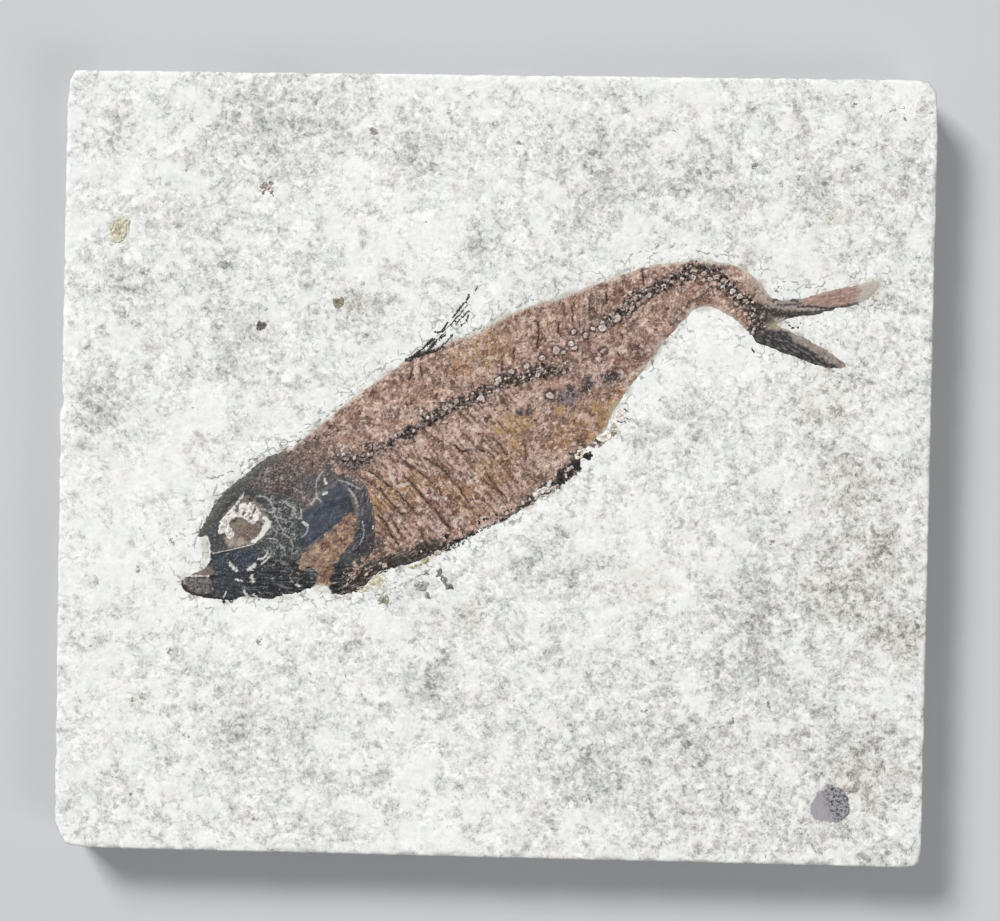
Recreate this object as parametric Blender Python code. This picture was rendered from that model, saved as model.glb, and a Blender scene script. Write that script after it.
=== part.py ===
"""Limestone slab with a fossil fish lying in low relief in its split face.

The slab lies on its back, fish upward: X runs along the lower sawn edge, Y up the face
and Z out of it.  The figures below are in millimetres; the meshes are in metres.
"""
import math
import random

import bpy
import numpy as np
from mathutils import Vector, noise
from mathutils.geometry import delaunay_2d_cdt

MM = 0.001
FACE_LEVEL = 9.6            # height of the split face above the back
BED_DEPTH = 1.2             # how deep the bed under the fish is cut
FIT_GAP = 0.3               # clearance between fish and bed
SAW_LINE = -51.5            # the lower sawn edge
SLAB_STEP = 3.0             # spacing of the points round the slab
SLAB_CELL = 2.75            # spacing of the points over its face
FISH_STEP = 1.3             # spacing of the points round the fish
FISH_CELL = 1.12            # spacing of the points over it
VERTEBRA_PITCH = 2.0        # length of one backbone joint
RIB_PITCH = 2.3             # spacing of the ribs along the backbone
SCUTE_PITCH = 1.6           # spacing of the scutes along the belly's keel
FIRST_RIB_LENGTH = 11.5
FIRST_SPINE_LENGTH = 5.2

# How far each feature stands out of what it lies on.
SKIN_EDGE = 0.08
SKIN_CROWN = 0.34
VERTEBRA_RISE = 0.42
RIB_RISE = 0.20
BACK_SPINE_RISE = 0.15
RAY_RISE = 0.20
KEEL_RISE = 0.16
SKULL_RISE = 0.30
EYE_RING_RISE = 0.30
EYE_SINK = 0.20
GILL_COVER_RISE = 0.30
SHOULDER_RISE = 0.34
CHEEK_RISE = 0.26
JAW_RISE = 0.29
FACE_SWELL = 0.20           # swellings of the split face, above and below its level
SCRAPED_DEPTH = 0.22        # how much lower the face was scraped round the fish
ARRIS_CHIP = 0.30           # least width chipped off the face's arris

# Slab seen from above, starting at the left end of the lower edge: three corners are
# knocked off and a shallow ledge breaks the left edge.
SLAB_EDGE = [(-52.0, SAW_LINE), (54.6, SAW_LINE), (56.2, -51.2), (56.8, -50.6), (57.0, -48.4),
             (57.0, -42.5), (56.9, 44.2), (56.6, 49.8), (55.6, 51.2), (53.6, 51.5),
             (-56.1, 50.1), (-56.7, 48.6), (-57.0, 45.4), (-56.8, 9.5), (-56.6, 6.3),
             (-57.0, 5.6), (-56.9, 0.4), (-56.4, -45.3), (-56.4, -48.1), (-54.9, -51.0)]

FOREHEAD = [(-38.7, -10.5), (-37.8, -8.7), (-36.8, -6.7), (-35.6, -5.0), (-34.2, -3.5),
            (-32.6, -2.3), (-31.1, -0.8), (-29.6, 0.3), (-28.0, 0.9), (-26.5, 1.4)]
NAPE = [(-25.2, 2.7), (-23.4, 4.2), (-21.2, 6.2), (-18.8, 8.2), (-16.2, 10.1), (-13.7, 12.0),
        (-11.9, 13.5)]
DORSAL_FIN = [(-9.3, 15.4), (-7.3, 17.3), (-5.7, 19.0), (-3.9, 21.5), (-4.3, 19.3),
              (-4.9, 17.9), (-5.8, 16.5)]
BACK = [(-4.6, 16.4), (-2.3, 17.2), (0.9, 19.3), (4.1, 20.8), (8.0, 21.9), (11.9, 23.6),
        (15.1, 24.8), (18.3, 26.1), (21.6, 26.8), (24.8, 27.1), (28.1, 27.1), (31.0, 26.6),
        (33.0, 25.6), (34.4, 24.3), (35.6, 22.6)]
UPPER_LOBE = [(38.0, 22.5), (39.9, 22.7), (42.5, 23.5), (45.8, 24.3), (48.1, 25.0),
              (49.8, 25.1), (49.6, 24.0), (48.4, 22.6), (46.9, 21.8), (44.5, 21.2),
              (42.0, 20.5), (39.4, 20.1), (37.5, 19.5), (36.5, 19.0)]
LOWER_LOBE = [(38.1, 18.3), (40.1, 17.5), (42.1, 16.5), (44.0, 15.2), (46.0, 13.8),
              (44.5, 13.3), (42.1, 13.7), (39.5, 14.5), (37.5, 15.2), (35.5, 15.9),
              (33.7, 16.5)]
TAIL_STALK = [(33.2, 17.2), (32.1, 18.3), (30.6, 19.7), (28.6, 20.7), (26.6, 20.9), (25.3, 20.4)]
VENT = [(24.5, 19.3), (23.2, 17.8), (21.7, 16.2), (20.6, 14.5), (19.3, 12.7), (17.9, 10.8),
        (16.4, 8.7), (15.2, 6.7), (14.7, 5.0), (13.7, 3.8), (12.1, 2.3)]
BELLY = [(11.4, 1.0), (11.3, -0.3), (9.9, -2.0), (8.1, -3.4), (6.0, -4.6), (3.7, -6.1),
         (1.6, -7.6), (-1.0, -8.4), (-3.2, -9.7), (-5.5, -11.0), (-7.9, -12.3), (-10.4, -13.4),
         (-13.0, -14.1), (-15.4, -15.1), (-16.6, -16.7)]
THROAT = [(-18.4, -17.5), (-20.6, -17.7), (-22.1, -17.2), (-23.5, -17.0), (-24.9, -17.6),
          (-27.5, -18.1), (-29.9, -18.5), (-32.1, -18.3), (-34.3, -19.0), (-36.4, -18.6),
          (-38.5, -18.2), (-40.1, -17.6)]
SNOUT = [(-40.5, -16.8), (-40.1, -15.8), (-39.1, -15.4), (-37.5, -14.7), (-37.2, -13.5),
         (-37.5, -11.9), (-37.8, -10.9)]
FISH_EDGE = (FOREHEAD + NAPE + DORSAL_FIN + BACK + UPPER_LOBE + LOWER_LOBE + TAIL_STALK
             + VENT + BELLY + THROAT + SNOUT)

SPINE = [(-20.4, -1.1), (-17.8, 0.1), (-15.0, 1.6), (-12.1, 3.2), (-9.3, 5.3), (-6.2, 7.3),
         (-3.4, 8.7), (-0.8, 10.1), (2.0, 11.7), (5.9, 13.9), (9.5, 16.1), (13.6, 18.1),
         (16.5, 19.9), (19.1, 22.0), (21.7, 23.7), (24.2, 24.8), (26.5, 25.2), (28.5, 24.8),
         (30.4, 23.4), (32.3, 21.6), (33.9, 20.1)]
GILL_COVER = [(-24.8, -6.4), (-23.2, -4.9), (-22.0, -3.7), (-20.3, -3.0), (-19.2, -3.5),
              (-18.5, -4.8), (-18.3, -6.0), (-18.8, -7.2), (-20.2, -8.1), (-21.8, -9.5),
              (-23.4, -10.7), (-24.7, -11.4), (-25.5, -10.6), (-26.1, -9.1), (-25.7, -7.5)]
SHOULDER = [(-19.8, -2.6), (-18.2, -3.6), (-17.2, -5.1), (-16.8, -7.2), (-16.7, -9.4),
            (-17.4, -11.9)]
CHEEK_BAR = [(-36.4, -12.7), (-34.5, -12.1), (-32.5, -11.6), (-31.0, -11.3), (-29.0, -10.4)]
UPPER_JAW = [(-39.1, -15.4), (-36.1, -14.3), (-33.9, -13.8), (-31.0, -14.6)]
LOWER_JAW = [(-40.0, -16.8), (-37.4, -16.9), (-34.7, -17.2), (-31.5, -17.4), (-28.2, -17.2),
             (-24.3, -16.6)]
KEEL = [(-19.8, -15.9), (-17.2, -15.2), (-14.6, -13.7), (-12.0, -12.8), (-8.8, -11.6),
        (-5.6, -10.0), (-3.0, -8.7), (-0.4, -7.4), (1.9, -6.4), (4.1, -5.2), (6.7, -3.8),
        (8.9, -2.2), (10.5, -0.6)]
FIN_RAYS = [[(-11.6, 12.7), (-9.2, 14.8), (-7.2, 16.6), (-5.5, 18.5), (-4.4, 20.4)],
            [(-9.6, 14.2), (-7.6, 15.4), (-5.9, 16.9), (-5.0, 18.4)]]
SKULL_CROWN = (-28.0, -6.5)
EYE = (-32.5, -8.3)
EYE_RADIUS = 3.0


def smooth(points, step, looped):
    """Points about one step apart on a curve through the given ones."""
    p = np.array(points, float)
    count = len(p)
    out = []
    for i in range(count if looped else count - 1):
        a, b = p[i], p[(i + 1) % count]
        before = p[i - 1] if looped or i > 0 else 2 * a - b
        after = p[(i + 2) % count] if looped or i + 2 < count else 2 * b - a
        chord = np.linalg.norm(b - a)
        lead = (b - before) * chord / (np.linalg.norm(a - before) + chord)
        trail = (after - a) * chord / (np.linalg.norm(after - b) + chord)
        pieces = max(1, round(chord / step))
        for k in range(pieces):
            t = k / pieces
            out.append((2 * t**3 - 3 * t**2 + 1) * a + (t**3 - 2 * t**2 + t) * lead
                       + (3 * t**2 - 2 * t**3) * b + (t**3 - t**2) * trail)
    if not looped:
        out.append(p[-1])
    return np.array(out)


def straight(points, step):
    """A closed outline with its straight runs cut into pieces about one step long."""
    out = []
    for a, b in zip(points, points[1:] + points[:1]):
        a, b = np.array(a), np.array(b)
        pieces = max(1, round(np.linalg.norm(b - a) / step))
        out += [a + (b - a) * k / pieces for k in range(pieces)]
    return np.array(out)


def outward(loop, amounts):
    """The anticlockwise loop moved outward, each point by its own amount."""
    leg = np.roll(loop, -1, axis=0) - loop
    leg /= np.linalg.norm(leg, axis=1)[:, None]
    side = np.stack([leg[:, 1], -leg[:, 0]], axis=1)
    aim = side + np.roll(side, 1, axis=0)
    aim /= np.linalg.norm(aim, axis=1)[:, None]
    reach = 1 / np.clip((aim * side).sum(axis=1), 0.4, 1)
    return loop + aim * (reach * amounts)[:, None]


def along_path(points, path):
    """Distance of each point from a path, and how far along the path it is nearest."""
    best = np.full(len(points), 1e9)
    along = np.zeros(len(points))
    run = 0.0
    for a, b in zip(path[:-1], path[1:]):
        leg = b - a
        length = math.hypot(*leg)
        t = np.clip((points - a) @ leg / length**2, 0, 1)
        gap = np.linalg.norm(points - a - t[:, None] * leg, axis=1)
        closer = gap < best
        best[closer] = gap[closer]
        along[closer] = run + t[closer] * length
        run += length
    return best, along


def closed(loop):
    """A loop with its first point again at its end."""
    return np.vstack([loop, loop[:1]])


def inside(points, loop):
    """Which points lie within a closed loop."""
    hit = np.zeros(len(points), bool)
    for (ax, ay), (bx, by) in zip(loop, np.roll(loop, -1, axis=0)):
        if ay != by:
            spans = (ay > points[:, 1]) != (by > points[:, 1])
            hit ^= spans & (points[:, 0] < ax + (points[:, 1] - ay) * (bx - ax) / (by - ay))
    return hit


def lumps(points, size, seed, octaves=3):
    """Rounded natural unevenness, about -1 to 1, with swellings of the given size."""
    return np.array([noise.fractal(Vector((x / size, y / size, seed)), 0.9, 2.1, octaves)
                     for x, y in points])


def ridge(points, path, width):
    """A rounded ridge along a path, 1 high."""
    return np.exp(-(along_path(points, np.array(path, float))[0] / width) ** 2)


def spring(start, heading, turn, length, steps):
    """A bone springing from a point and bending steadily as it goes."""
    out = [np.array(start)]
    for k in range(steps):
        angle = math.radians(heading + turn * k / steps)
        out.append(out[-1] + np.array([math.cos(angle), math.sin(angle)]) * length / steps)
    return np.array(out)


def bones(lag):
    """Ribs below the backbone and spines above it, moved along it by part of a pitch."""
    line = smooth(SPINE, 0.5, False)
    run = np.insert(np.cumsum(np.linalg.norm(np.diff(line, axis=0), axis=1)), 0, 0)
    ribs, spines = [], []
    for i in range(1, 26):
        k = np.searchsorted(run, (i + lag) * RIB_PITCH)
        leg = line[k + 1] - line[k]
        course = math.degrees(math.atan2(leg[1], leg[0]))
        if i < 15:
            length = FIRST_RIB_LENGTH - 0.35 * i + math.sin(5 * i)
            ribs.append(spring(line[k], course - 55, -38, length, 13)[1:])
        length = FIRST_SPINE_LENGTH - 0.12 * i
        spines.append(spring(line[k], course + 62, 10, length, 6)[1:])
    return ribs, spines


def tail_rays():
    """Rays fanning from the end of the backbone into both tail lobes."""
    root = np.array([33.8, 19.6])
    tips = [(48.6, 24.5), (47.0, 22.7), (43.6, 21.3), (42.8, 15.8), (44.8, 14.0), (41.2, 14.3)]
    return [np.linspace(root, tip, 9) for tip in tips]


def pick(candidates, kept, clearance):
    """Adds those candidates that keep clear of every point already kept."""
    for point in candidates:
        if not len(kept) or np.min(np.linalg.norm(kept - point, axis=1)) > clearance:
            kept = np.vstack([kept, point])
    return kept


def grid(low, high, cell, seed):
    """Staggered rows of points over a rectangle, each nudged off its place."""
    chance = random.Random(seed)
    rows = []
    for j in range(int((high[1] - low[1]) / (cell * 0.87)) + 1):
        for i in range(int((high[0] - low[0]) / cell) + 1):
            rows.append((low[0] + (i + 0.5 * (j % 2)) * cell + chance.uniform(-0.22, 0.22) * cell,
                         low[1] + j * cell * 0.87 + chance.uniform(-0.22, 0.22) * cell))
    return np.array(rows)


def triangles(loops, inner, wanted):
    """Triangles joining loops and inner points; wanted says which spots are covered."""
    flat = np.vstack(loops + [inner]) if len(inner) else np.vstack(loops)
    edges, first = [], 0
    for loop in loops:
        count = len(loop)
        edges += [(first + i, first + (i + 1) % count) for i in range(count)]
        first += count
    faces = delaunay_2d_cdt([Vector(p) for p in flat], edges, [], 0, 1e-6)[2]
    middles = np.array([flat[list(face)].mean(axis=0) for face in faces])
    keep = wanted(middles)
    return [tuple(face) for face, ok in zip(faces, keep) if ok]


def wall(upper, lower, count):
    """Two triangles between each pair of neighbours in an upper and a lower ring."""
    faces = []
    for i in range(count):
        j = (i + 1) % count
        faces += [(lower + i, lower + j, upper + j), (lower + i, upper + j, upper + i)]
    return faces


def shifted(faces, offset, flip=False):
    """Faces renumbered to start at an offset, turned over if asked."""
    return [tuple(offset + v for v in (reversed(face) if flip else face)) for face in faces]


def level(points, height):
    """The flat points raised to a height, or each to its own."""
    return np.column_stack([points, np.broadcast_to(height, len(points))])


def add_body(name, verts, faces, colour, roughness):
    """One closed body in the scene, with its own stone-like material."""
    mesh = bpy.data.meshes.new(name)
    mesh.from_pydata([tuple(v) for v in np.vstack(verts) * MM], [], faces)
    mesh.update()
    material = bpy.data.materials.new(name)
    material.use_nodes = True
    shader = material.node_tree.nodes["Principled BSDF"]
    shader.inputs["Base Color"].default_value = (*colour, 1.0)
    shader.inputs["Roughness"].default_value = roughness
    shader.inputs["Metallic"].default_value = 0.0
    mesh.materials.append(material)
    body = bpy.data.objects.new(name, mesh)
    bpy.context.collection.objects.link(body)
    return body


def fish_height(points, rim):
    """How far the fish stands out of the split face at each point."""
    edge = along_path(points, closed(rim))[0]
    spine, run = along_path(points, smooth(SPINE, 1.0, False))
    ribs, spines = bones(0)
    beat = 0.55 + 0.45 * np.cos(2 * math.pi * run / VERTEBRA_PITCH)
    high = SKIN_EDGE + SKIN_CROWN * (1 - np.exp(-edge / 2.0))
    high += VERTEBRA_RISE * beat * np.exp(-(spine / 0.85) ** 2)
    high += RIB_RISE * sum(ridge(points, bone, 0.45) for bone in ribs)
    high += BACK_SPINE_RISE * sum(ridge(points, bone, 0.40) for bone in spines)
    high += RAY_RISE * sum(ridge(points, ray, 0.35) for ray in tail_rays() + FIN_RAYS)
    keel, run = along_path(points, smooth(KEEL, 1.0, False))
    scutes = 1 + 0.75 * np.sin(2 * math.pi * run / SCUTE_PITCH)
    high += KEEL_RISE * scutes * np.exp(-(keel / 0.7) ** 2)
    high += head_height(points)
    return high + 0.05 * lumps(points, 1.6, 3.1)


def head_height(points):
    """The plates of the skull, the eye, the jaws, the gill cover and the shoulder bone."""
    skull = np.hypot(points[:, 0] - SKULL_CROWN[0], points[:, 1] - SKULL_CROWN[1])
    high = SKULL_RISE * np.exp(-(skull / 7.0) ** 2)
    eye = np.hypot(points[:, 0] - EYE[0], points[:, 1] - EYE[1])
    high += EYE_RING_RISE * np.exp(-((eye - EYE_RADIUS) / 0.5) ** 2)
    high += np.where(eye < EYE_RADIUS, EYE_SINK * (1.5 * lumps(points, 1.1, 8.4) - 1), 0)
    cover = np.array(GILL_COVER)
    depth = along_path(points, closed(cover))[0] * np.where(inside(points, cover), 1, -1)
    high += GILL_COVER_RISE / (1 + np.exp(-depth / 0.18))
    high += SHOULDER_RISE * ridge(points, SHOULDER, 0.8)
    high += CHEEK_RISE * ridge(points, CHEEK_BAR, 0.5)
    return high + JAW_RISE * (ridge(points, UPPER_JAW, 0.6) + ridge(points, LOWER_JAW, 0.7))


def fish_points(rim):
    """Points on the crests and in the furrows of the bones, then over the skin between."""
    spine = smooth(SPINE, VERTEBRA_PITCH / 2, False)
    along = np.gradient(spine, axis=0)
    side = np.stack([-along[:, 1], along[:, 0]], axis=1)
    side /= np.linalg.norm(side, axis=1)[:, None]
    rows = [spine, spine + side * 0.95, spine - side * 0.95]
    turn = np.linspace(0, 2 * math.pi, 19)[:-1]
    ring = np.stack([np.cos(turn), np.sin(turn)], axis=1)
    rows += [np.array(EYE) + ring * (EYE_RADIUS + step) for step in (0, -0.75, 0.75)]
    cover = smooth(GILL_COVER[::-1], 0.8, True)
    rows += [cover, outward(cover, 0.5)]
    rows += [smooth(path, 0.8, False) for path in (SHOULDER, CHEEK_BAR, UPPER_JAW, LOWER_JAW, KEEL)]
    rows += [smooth(ray, 0.9, False) for ray in FIN_RAYS] + tail_rays()
    for lag in (0, 0.5):
        ribs, spines = bones(lag)
        rows += ribs + spines
    skin = grid(rim.min(axis=0), rim.max(axis=0), FISH_CELL, 5)
    kept = np.empty((0, 2))
    for row, clearance in [(row, 0.62) for row in rows] + [(skin, 0.8)]:
        fits = inside(row, rim) & (along_path(row, closed(rim))[0] > 0.4)
        kept = pick(row[fits], kept, clearance)
    return kept


def fossil_fish(rim):
    """The fish: flat underneath, modelled on top, standing in its bed."""
    inner = fish_points(rim)
    top = np.vstack([rim, inner])
    count = len(rim)
    skin = triangles([rim], inner, lambda spots: inside(spots, rim))
    base = triangles([rim], [], lambda spots: inside(spots, rim))
    faces = skin + shifted(base, len(top), flip=True) + wall(0, len(top), count)
    verts = [level(top, FACE_LEVEL + fish_height(top, rim)),
             level(rim, FACE_LEVEL - BED_DEPTH + FIT_GAP)]
    return add_body("fossil_fish", verts, faces, (0.25, 0.19, 0.16), 0.6)


def slab_height(points, rim):
    """The split face: low swellings and pits, scraped lower round the fish."""
    edge = along_path(points, closed(rim))[0]
    high = FACE_SWELL * (lumps(points, 9.0, 1.7, 4) + 0.5 * lumps(points, 3.0, 6.2, 2))
    scraped = SCRAPED_DEPTH * np.exp(-(edge / 4.0) ** 2)
    return np.clip(high, -0.35, 0.30) - scraped


def limestone_slab(rim):
    """The slab: a split face with the bed cut into it, chipped arrises and a flat back."""
    edge = straight(SLAB_EDGE, SLAB_STEP)
    wear = np.abs(lumps(edge, 5.0, 4.4))
    face_rim = outward(edge, -ARRIS_CHIP * (1 + 3 * wear))
    back_rim = outward(edge, -ARRIS_CHIP * (0.5 + wear))
    bed = outward(rim, np.full(len(rim), FIT_GAP))
    cells = grid(face_rim.min(axis=0), face_rim.max(axis=0), SLAB_CELL, 9)
    clear = along_path(cells, closed(bed))[0] > 0.9
    clear &= along_path(cells, closed(face_rim))[0] > 1.0
    inner = cells[clear & inside(cells, face_rim) & ~inside(cells, bed)]
    top = np.vstack([face_rim, bed, inner])
    face = triangles([face_rim, bed], inner,
                     lambda spots: inside(spots, face_rim) & ~inside(spots, bed))
    floor = triangles([bed], [], lambda spots: inside(spots, bed))
    back = triangles([back_rim], [], lambda spots: inside(spots, back_rim))
    round_slab, round_bed = len(edge), len(bed)
    bed_at = len(top)
    arris_at = bed_at + round_bed
    heel_at = arris_at + round_slab
    back_at = heel_at + round_slab
    faces = face + shifted(floor, bed_at) + shifted(back, back_at, flip=True)
    faces += [tuple(reversed(f)) for f in wall(round_slab, bed_at, round_bed)]
    faces += wall(0, arris_at, round_slab) + wall(arris_at, heel_at, round_slab)
    faces += wall(heel_at, back_at, round_slab)
    verts = [level(top, FACE_LEVEL + slab_height(top, rim)), level(bed, FACE_LEVEL - BED_DEPTH),
             level(edge, FACE_LEVEL - ARRIS_CHIP * (1.8 + 3.6 * wear)),
             level(edge, ARRIS_CHIP * (1 + wear)), level(back_rim, 0.0)]
    return add_body("limestone_slab", verts, faces, (0.72, 0.73, 0.71), 0.85)


def clear_scene():
    for item in list(bpy.data.objects):
        bpy.data.objects.remove(item, do_unlink=True)


def main():
    clear_scene()
    rim = smooth(FISH_EDGE[::-1], FISH_STEP, True)
    limestone_slab(rim)
    fossil_fish(rim)


main()
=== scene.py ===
"""The looks of a limestone slab with a fossil fish lying in its split face.

Distances are in millimetres until a mesh is made; the slab lies on its back, fish upward.
"""
import math

import bpy
import numpy as np
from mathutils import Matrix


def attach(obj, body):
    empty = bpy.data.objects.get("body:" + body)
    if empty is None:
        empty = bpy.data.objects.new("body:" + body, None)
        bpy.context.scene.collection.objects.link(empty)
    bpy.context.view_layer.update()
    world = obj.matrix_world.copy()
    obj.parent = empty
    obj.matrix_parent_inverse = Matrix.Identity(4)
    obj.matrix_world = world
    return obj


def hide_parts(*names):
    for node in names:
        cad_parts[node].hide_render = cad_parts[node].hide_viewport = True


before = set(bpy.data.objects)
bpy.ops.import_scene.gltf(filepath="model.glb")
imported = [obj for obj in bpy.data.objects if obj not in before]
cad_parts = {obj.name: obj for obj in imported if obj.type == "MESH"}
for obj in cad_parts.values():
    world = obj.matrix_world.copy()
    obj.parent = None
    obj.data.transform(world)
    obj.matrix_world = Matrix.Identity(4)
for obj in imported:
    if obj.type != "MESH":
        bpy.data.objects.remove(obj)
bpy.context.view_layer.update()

MM = 0.001
FACE_LEVEL = 9.6            # the split face above the back, before its swellings
SCRAPED_DEPTH = 0.22        # how much lower the face was scraped round the fish
SLAB_PITCH = 0.45           # mesh spacing over the slab's face
SKIN_PITCH = 0.12           # mesh spacing over the fish's body
HEAD_PITCH = 0.07           # mesh spacing over its head
BURIED = 8.8                # level of the fish pieces' hidden undersides
HALF_LONG, HALF_WIDE = 57.0, 51.5   # half the slab's length and width
STAIN_AT, STAIN_RADIUS = (44.9, -43.6), 2.65   # the round slate-coloured stain

SPINE = [(-20.4, -1.1), (-17.8, 0.1), (-15.0, 1.6), (-12.1, 3.2), (-9.3, 5.3), (-6.2, 7.3),
    (-3.4, 8.7), (-0.8, 10.1), (2.0, 11.7), (5.9, 13.9), (9.5, 16.1), (13.6, 18.1), (16.5, 19.9),
    (19.1, 22.0), (21.7, 23.7), (24.2, 24.8), (26.5, 25.2), (28.5, 24.8), (30.4, 23.4),
    (32.3, 21.6), (33.9, 20.1)]
HEAD_REAR = [(-25.4, 1.9), (-22.5, 0.4), (-19.5, -1.1), (-17.2, -2.8), (-16.0, -5.2), (-15.4, -8.0),
    (-15.5, -11.0), (-16.4, -13.0), (-18.2, -14.9), (-18.4, -17.5)]
GILL_COVER = [(-24.8, -6.4), (-23.2, -4.9), (-22.0, -3.7), (-20.3, -3.0), (-19.2, -3.5),
    (-18.5, -4.8), (-18.3, -6.0), (-18.8, -7.2), (-20.2, -8.1), (-21.8, -9.5), (-23.4, -10.7),
    (-24.7, -11.4), (-25.5, -10.6), (-26.1, -9.1), (-25.7, -7.5)]
FOREHEAD = [(-38.7, -10.5), (-37.8, -8.7), (-36.8, -6.7), (-35.6, -5.0), (-34.2, -3.5),
    (-32.6, -2.3), (-31.1, -0.8), (-29.6, 0.3), (-28.0, 0.9), (-26.5, 1.4)]
KEEL = [(-19.8, -15.9), (-17.2, -15.2), (-14.6, -13.7), (-12.0, -12.8), (-8.8, -11.6),
    (-5.6, -10.0), (-3.0, -8.7), (-0.4, -7.4), (1.9, -6.4), (4.1, -5.2), (6.7, -3.8), (8.9, -2.2),
    (10.5, -0.6)]
SHOULDER = [(-20.1, -2.1), (-18.1, -2.9), (-16.7, -4.1), (-16.0, -6.1), (-15.8, -8.4),
    (-15.9, -10.4), (-16.5, -12.0), (-18.3, -11.9), (-17.7, -10.4), (-17.6, -8.3), (-17.8, -6.2),
    (-18.4, -4.4), (-19.4, -3.2)]
OCHRE_CRUST = [(-18.4, -6.8), (-17.7, -7.8), (-17.7, -9.5), (-18.3, -10.8), (-19.2, -11.8),
    (-19.7, -12.8), (-20.6, -13.9), (-21.0, -15.5), (-21.2, -17.0), (-22.2, -17.3), (-22.8, -16.0),
    (-22.7, -14.7), (-23.5, -14.2), (-24.6, -14.4), (-25.3, -13.5), (-24.4, -12.1), (-23.5, -11.2),
    (-21.9, -10.0), (-20.5, -8.7), (-19.3, -7.3)]
CHEEK = [(-29.4, -5.2), (-26.3, -5.4), (-24.9, -6.9), (-25.7, -9.3), (-25.1, -11.6), (-26.3, -13.9),
    (-29.0, -13.3), (-30.1, -11.4), (-28.8, -8.1)]
BLUE_PLATE = [(-33.9, -12.4), (-32.3, -11.7), (-30.6, -11.9), (-29.9, -12.8), (-30.8, -13.7),
    (-31.3, -14.7), (-32.8, -14.8), (-33.9, -13.8)]
ORBIT_BAR = [(-36.4, -12.7), (-34.5, -12.1), (-32.5, -11.6), (-31.0, -11.3), (-29.9, -10.7)]
SNOUT_GAP = [(-37.5, -10.2), (-36.8, -12.0), (-36.9, -13.8), (-38.1, -14.6), (-39.1, -14.6),
    (-39.4, -13.3), (-38.9, -11.6)]
UPPER_JAW = [(-39.3, -15.5), (-37.7, -14.8), (-36.1, -13.9), (-34.5, -12.9), (-33.9, -14.2),
    (-34.8, -15.3), (-36.5, -15.7), (-38.6, -15.8)]
JAW_TIP = [(-40.5, -16.8), (-40.1, -15.9), (-38.6, -15.9), (-36.7, -16.0), (-36.2, -17.4),
    (-37.3, -18.2), (-39.3, -18.0)]
FIN_AREA = [(-12.6, 13.3), (-9.5, 14.3), (-6.5, 15.6), (-3.9, 16.9), (-2.5, 23.0), (-6.0, 22.0)]
BONE_BAND = [(-20.2, 0.2), (-18.2, -0.1), (-16.8, 0.7), (-12.8, 3.0), (-11.0, 3.8), (-9.5, 5.4),
    (-8.3, 5.9), (-4.7, 7.8), (-3.1, 8.5), (-1.0, 9.6), (1.1, 10.8), (3.3, 11.4), (5.2, 12.1),
    (7.1, 12.4), (8.8, 12.7)]
STALK_BAND = [(14.2, 18.7), (15.9, 20.1), (17.5, 21.6), (19.7, 23.0), (21.3, 23.7), (22.9, 24.8),
    (24.7, 25.7), (27.1, 26.0), (29.1, 24.6), (30.9, 22.9), (32.9, 21.3), (33.8, 19.8),
    (33.9, 18.0)]
GILL_COVER_FACE = [(-23.2, -6.1), (-21.6, -3.7), (-19.6, -3.3), (-18.3, -5.2), (-18.1, -6.5),
    (-18.8, -7.4), (-20.4, -8.6), (-22.0, -9.9), (-23.3, -11.2), (-24.6, -11.8), (-25.0, -10.2),
    (-24.4, -8.7), (-25.0, -7.6)]
SHOULDER_FACE = [(-21.7, -0.6), (-18.7, -2.5), (-17.2, -3.7), (-15.9, -4.8), (-15.5, -7.0),
    (-15.8, -9.2), (-16.1, -11.2), (-17.6, -12.2), (-18.5, -12.6), (-17.9, -10.4), (-17.5, -8.3),
    (-17.7, -6.2), (-18.2, -4.4), (-19.6, -3.0), (-21.5, -2.2)]
EYE_HOLLOW = [(-35.4, -7.8), (-34.0, -6.0), (-32.5, -4.9), (-30.9, -5.6), (-29.6, -7.0),
    (-29.1, -8.6), (-30.2, -10.6), (-32.0, -11.4), (-34.4, -11.6), (-35.3, -10.0)]
TAIL_BROWN_HIGH = [(38.9, 22.0), (41.0, 23.0), (42.8, 23.5), (44.9, 24.2), (46.6, 24.6),
    (47.4, 24.0), (46.5, 21.9), (43.7, 21.6), (40.4, 21.6)]
TAIL_BROWN_LOW = [(37.7, 18.3), (39.4, 17.7), (41.2, 17.0), (42.5, 16.7), (43.8, 15.4),
    (45.8, 14.2), (46.2, 13.4), (45.0, 13.3), (43.6, 14.3), (41.6, 15.4), (40.3, 16.4),
    (38.6, 16.8)]
TAIL_BLACK_LOW = [(32.7, 18.6), (34.4, 18.3), (36.6, 18.3), (37.9, 17.9), (38.6, 16.8),
    (40.3, 16.2), (41.7, 15.2), (43.6, 14.1), (45.2, 13.1), (43.0, 13.3), (39.5, 14.3),
    (36.9, 15.3), (35.1, 15.8), (33.4, 16.6)]
TAIL_GREY = [(35.7, 21.3), (36.7, 22.1), (38.0, 22.6), (39.3, 22.3), (39.5, 21.6), (37.6, 21.2),
    (36.1, 20.9)]
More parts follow.
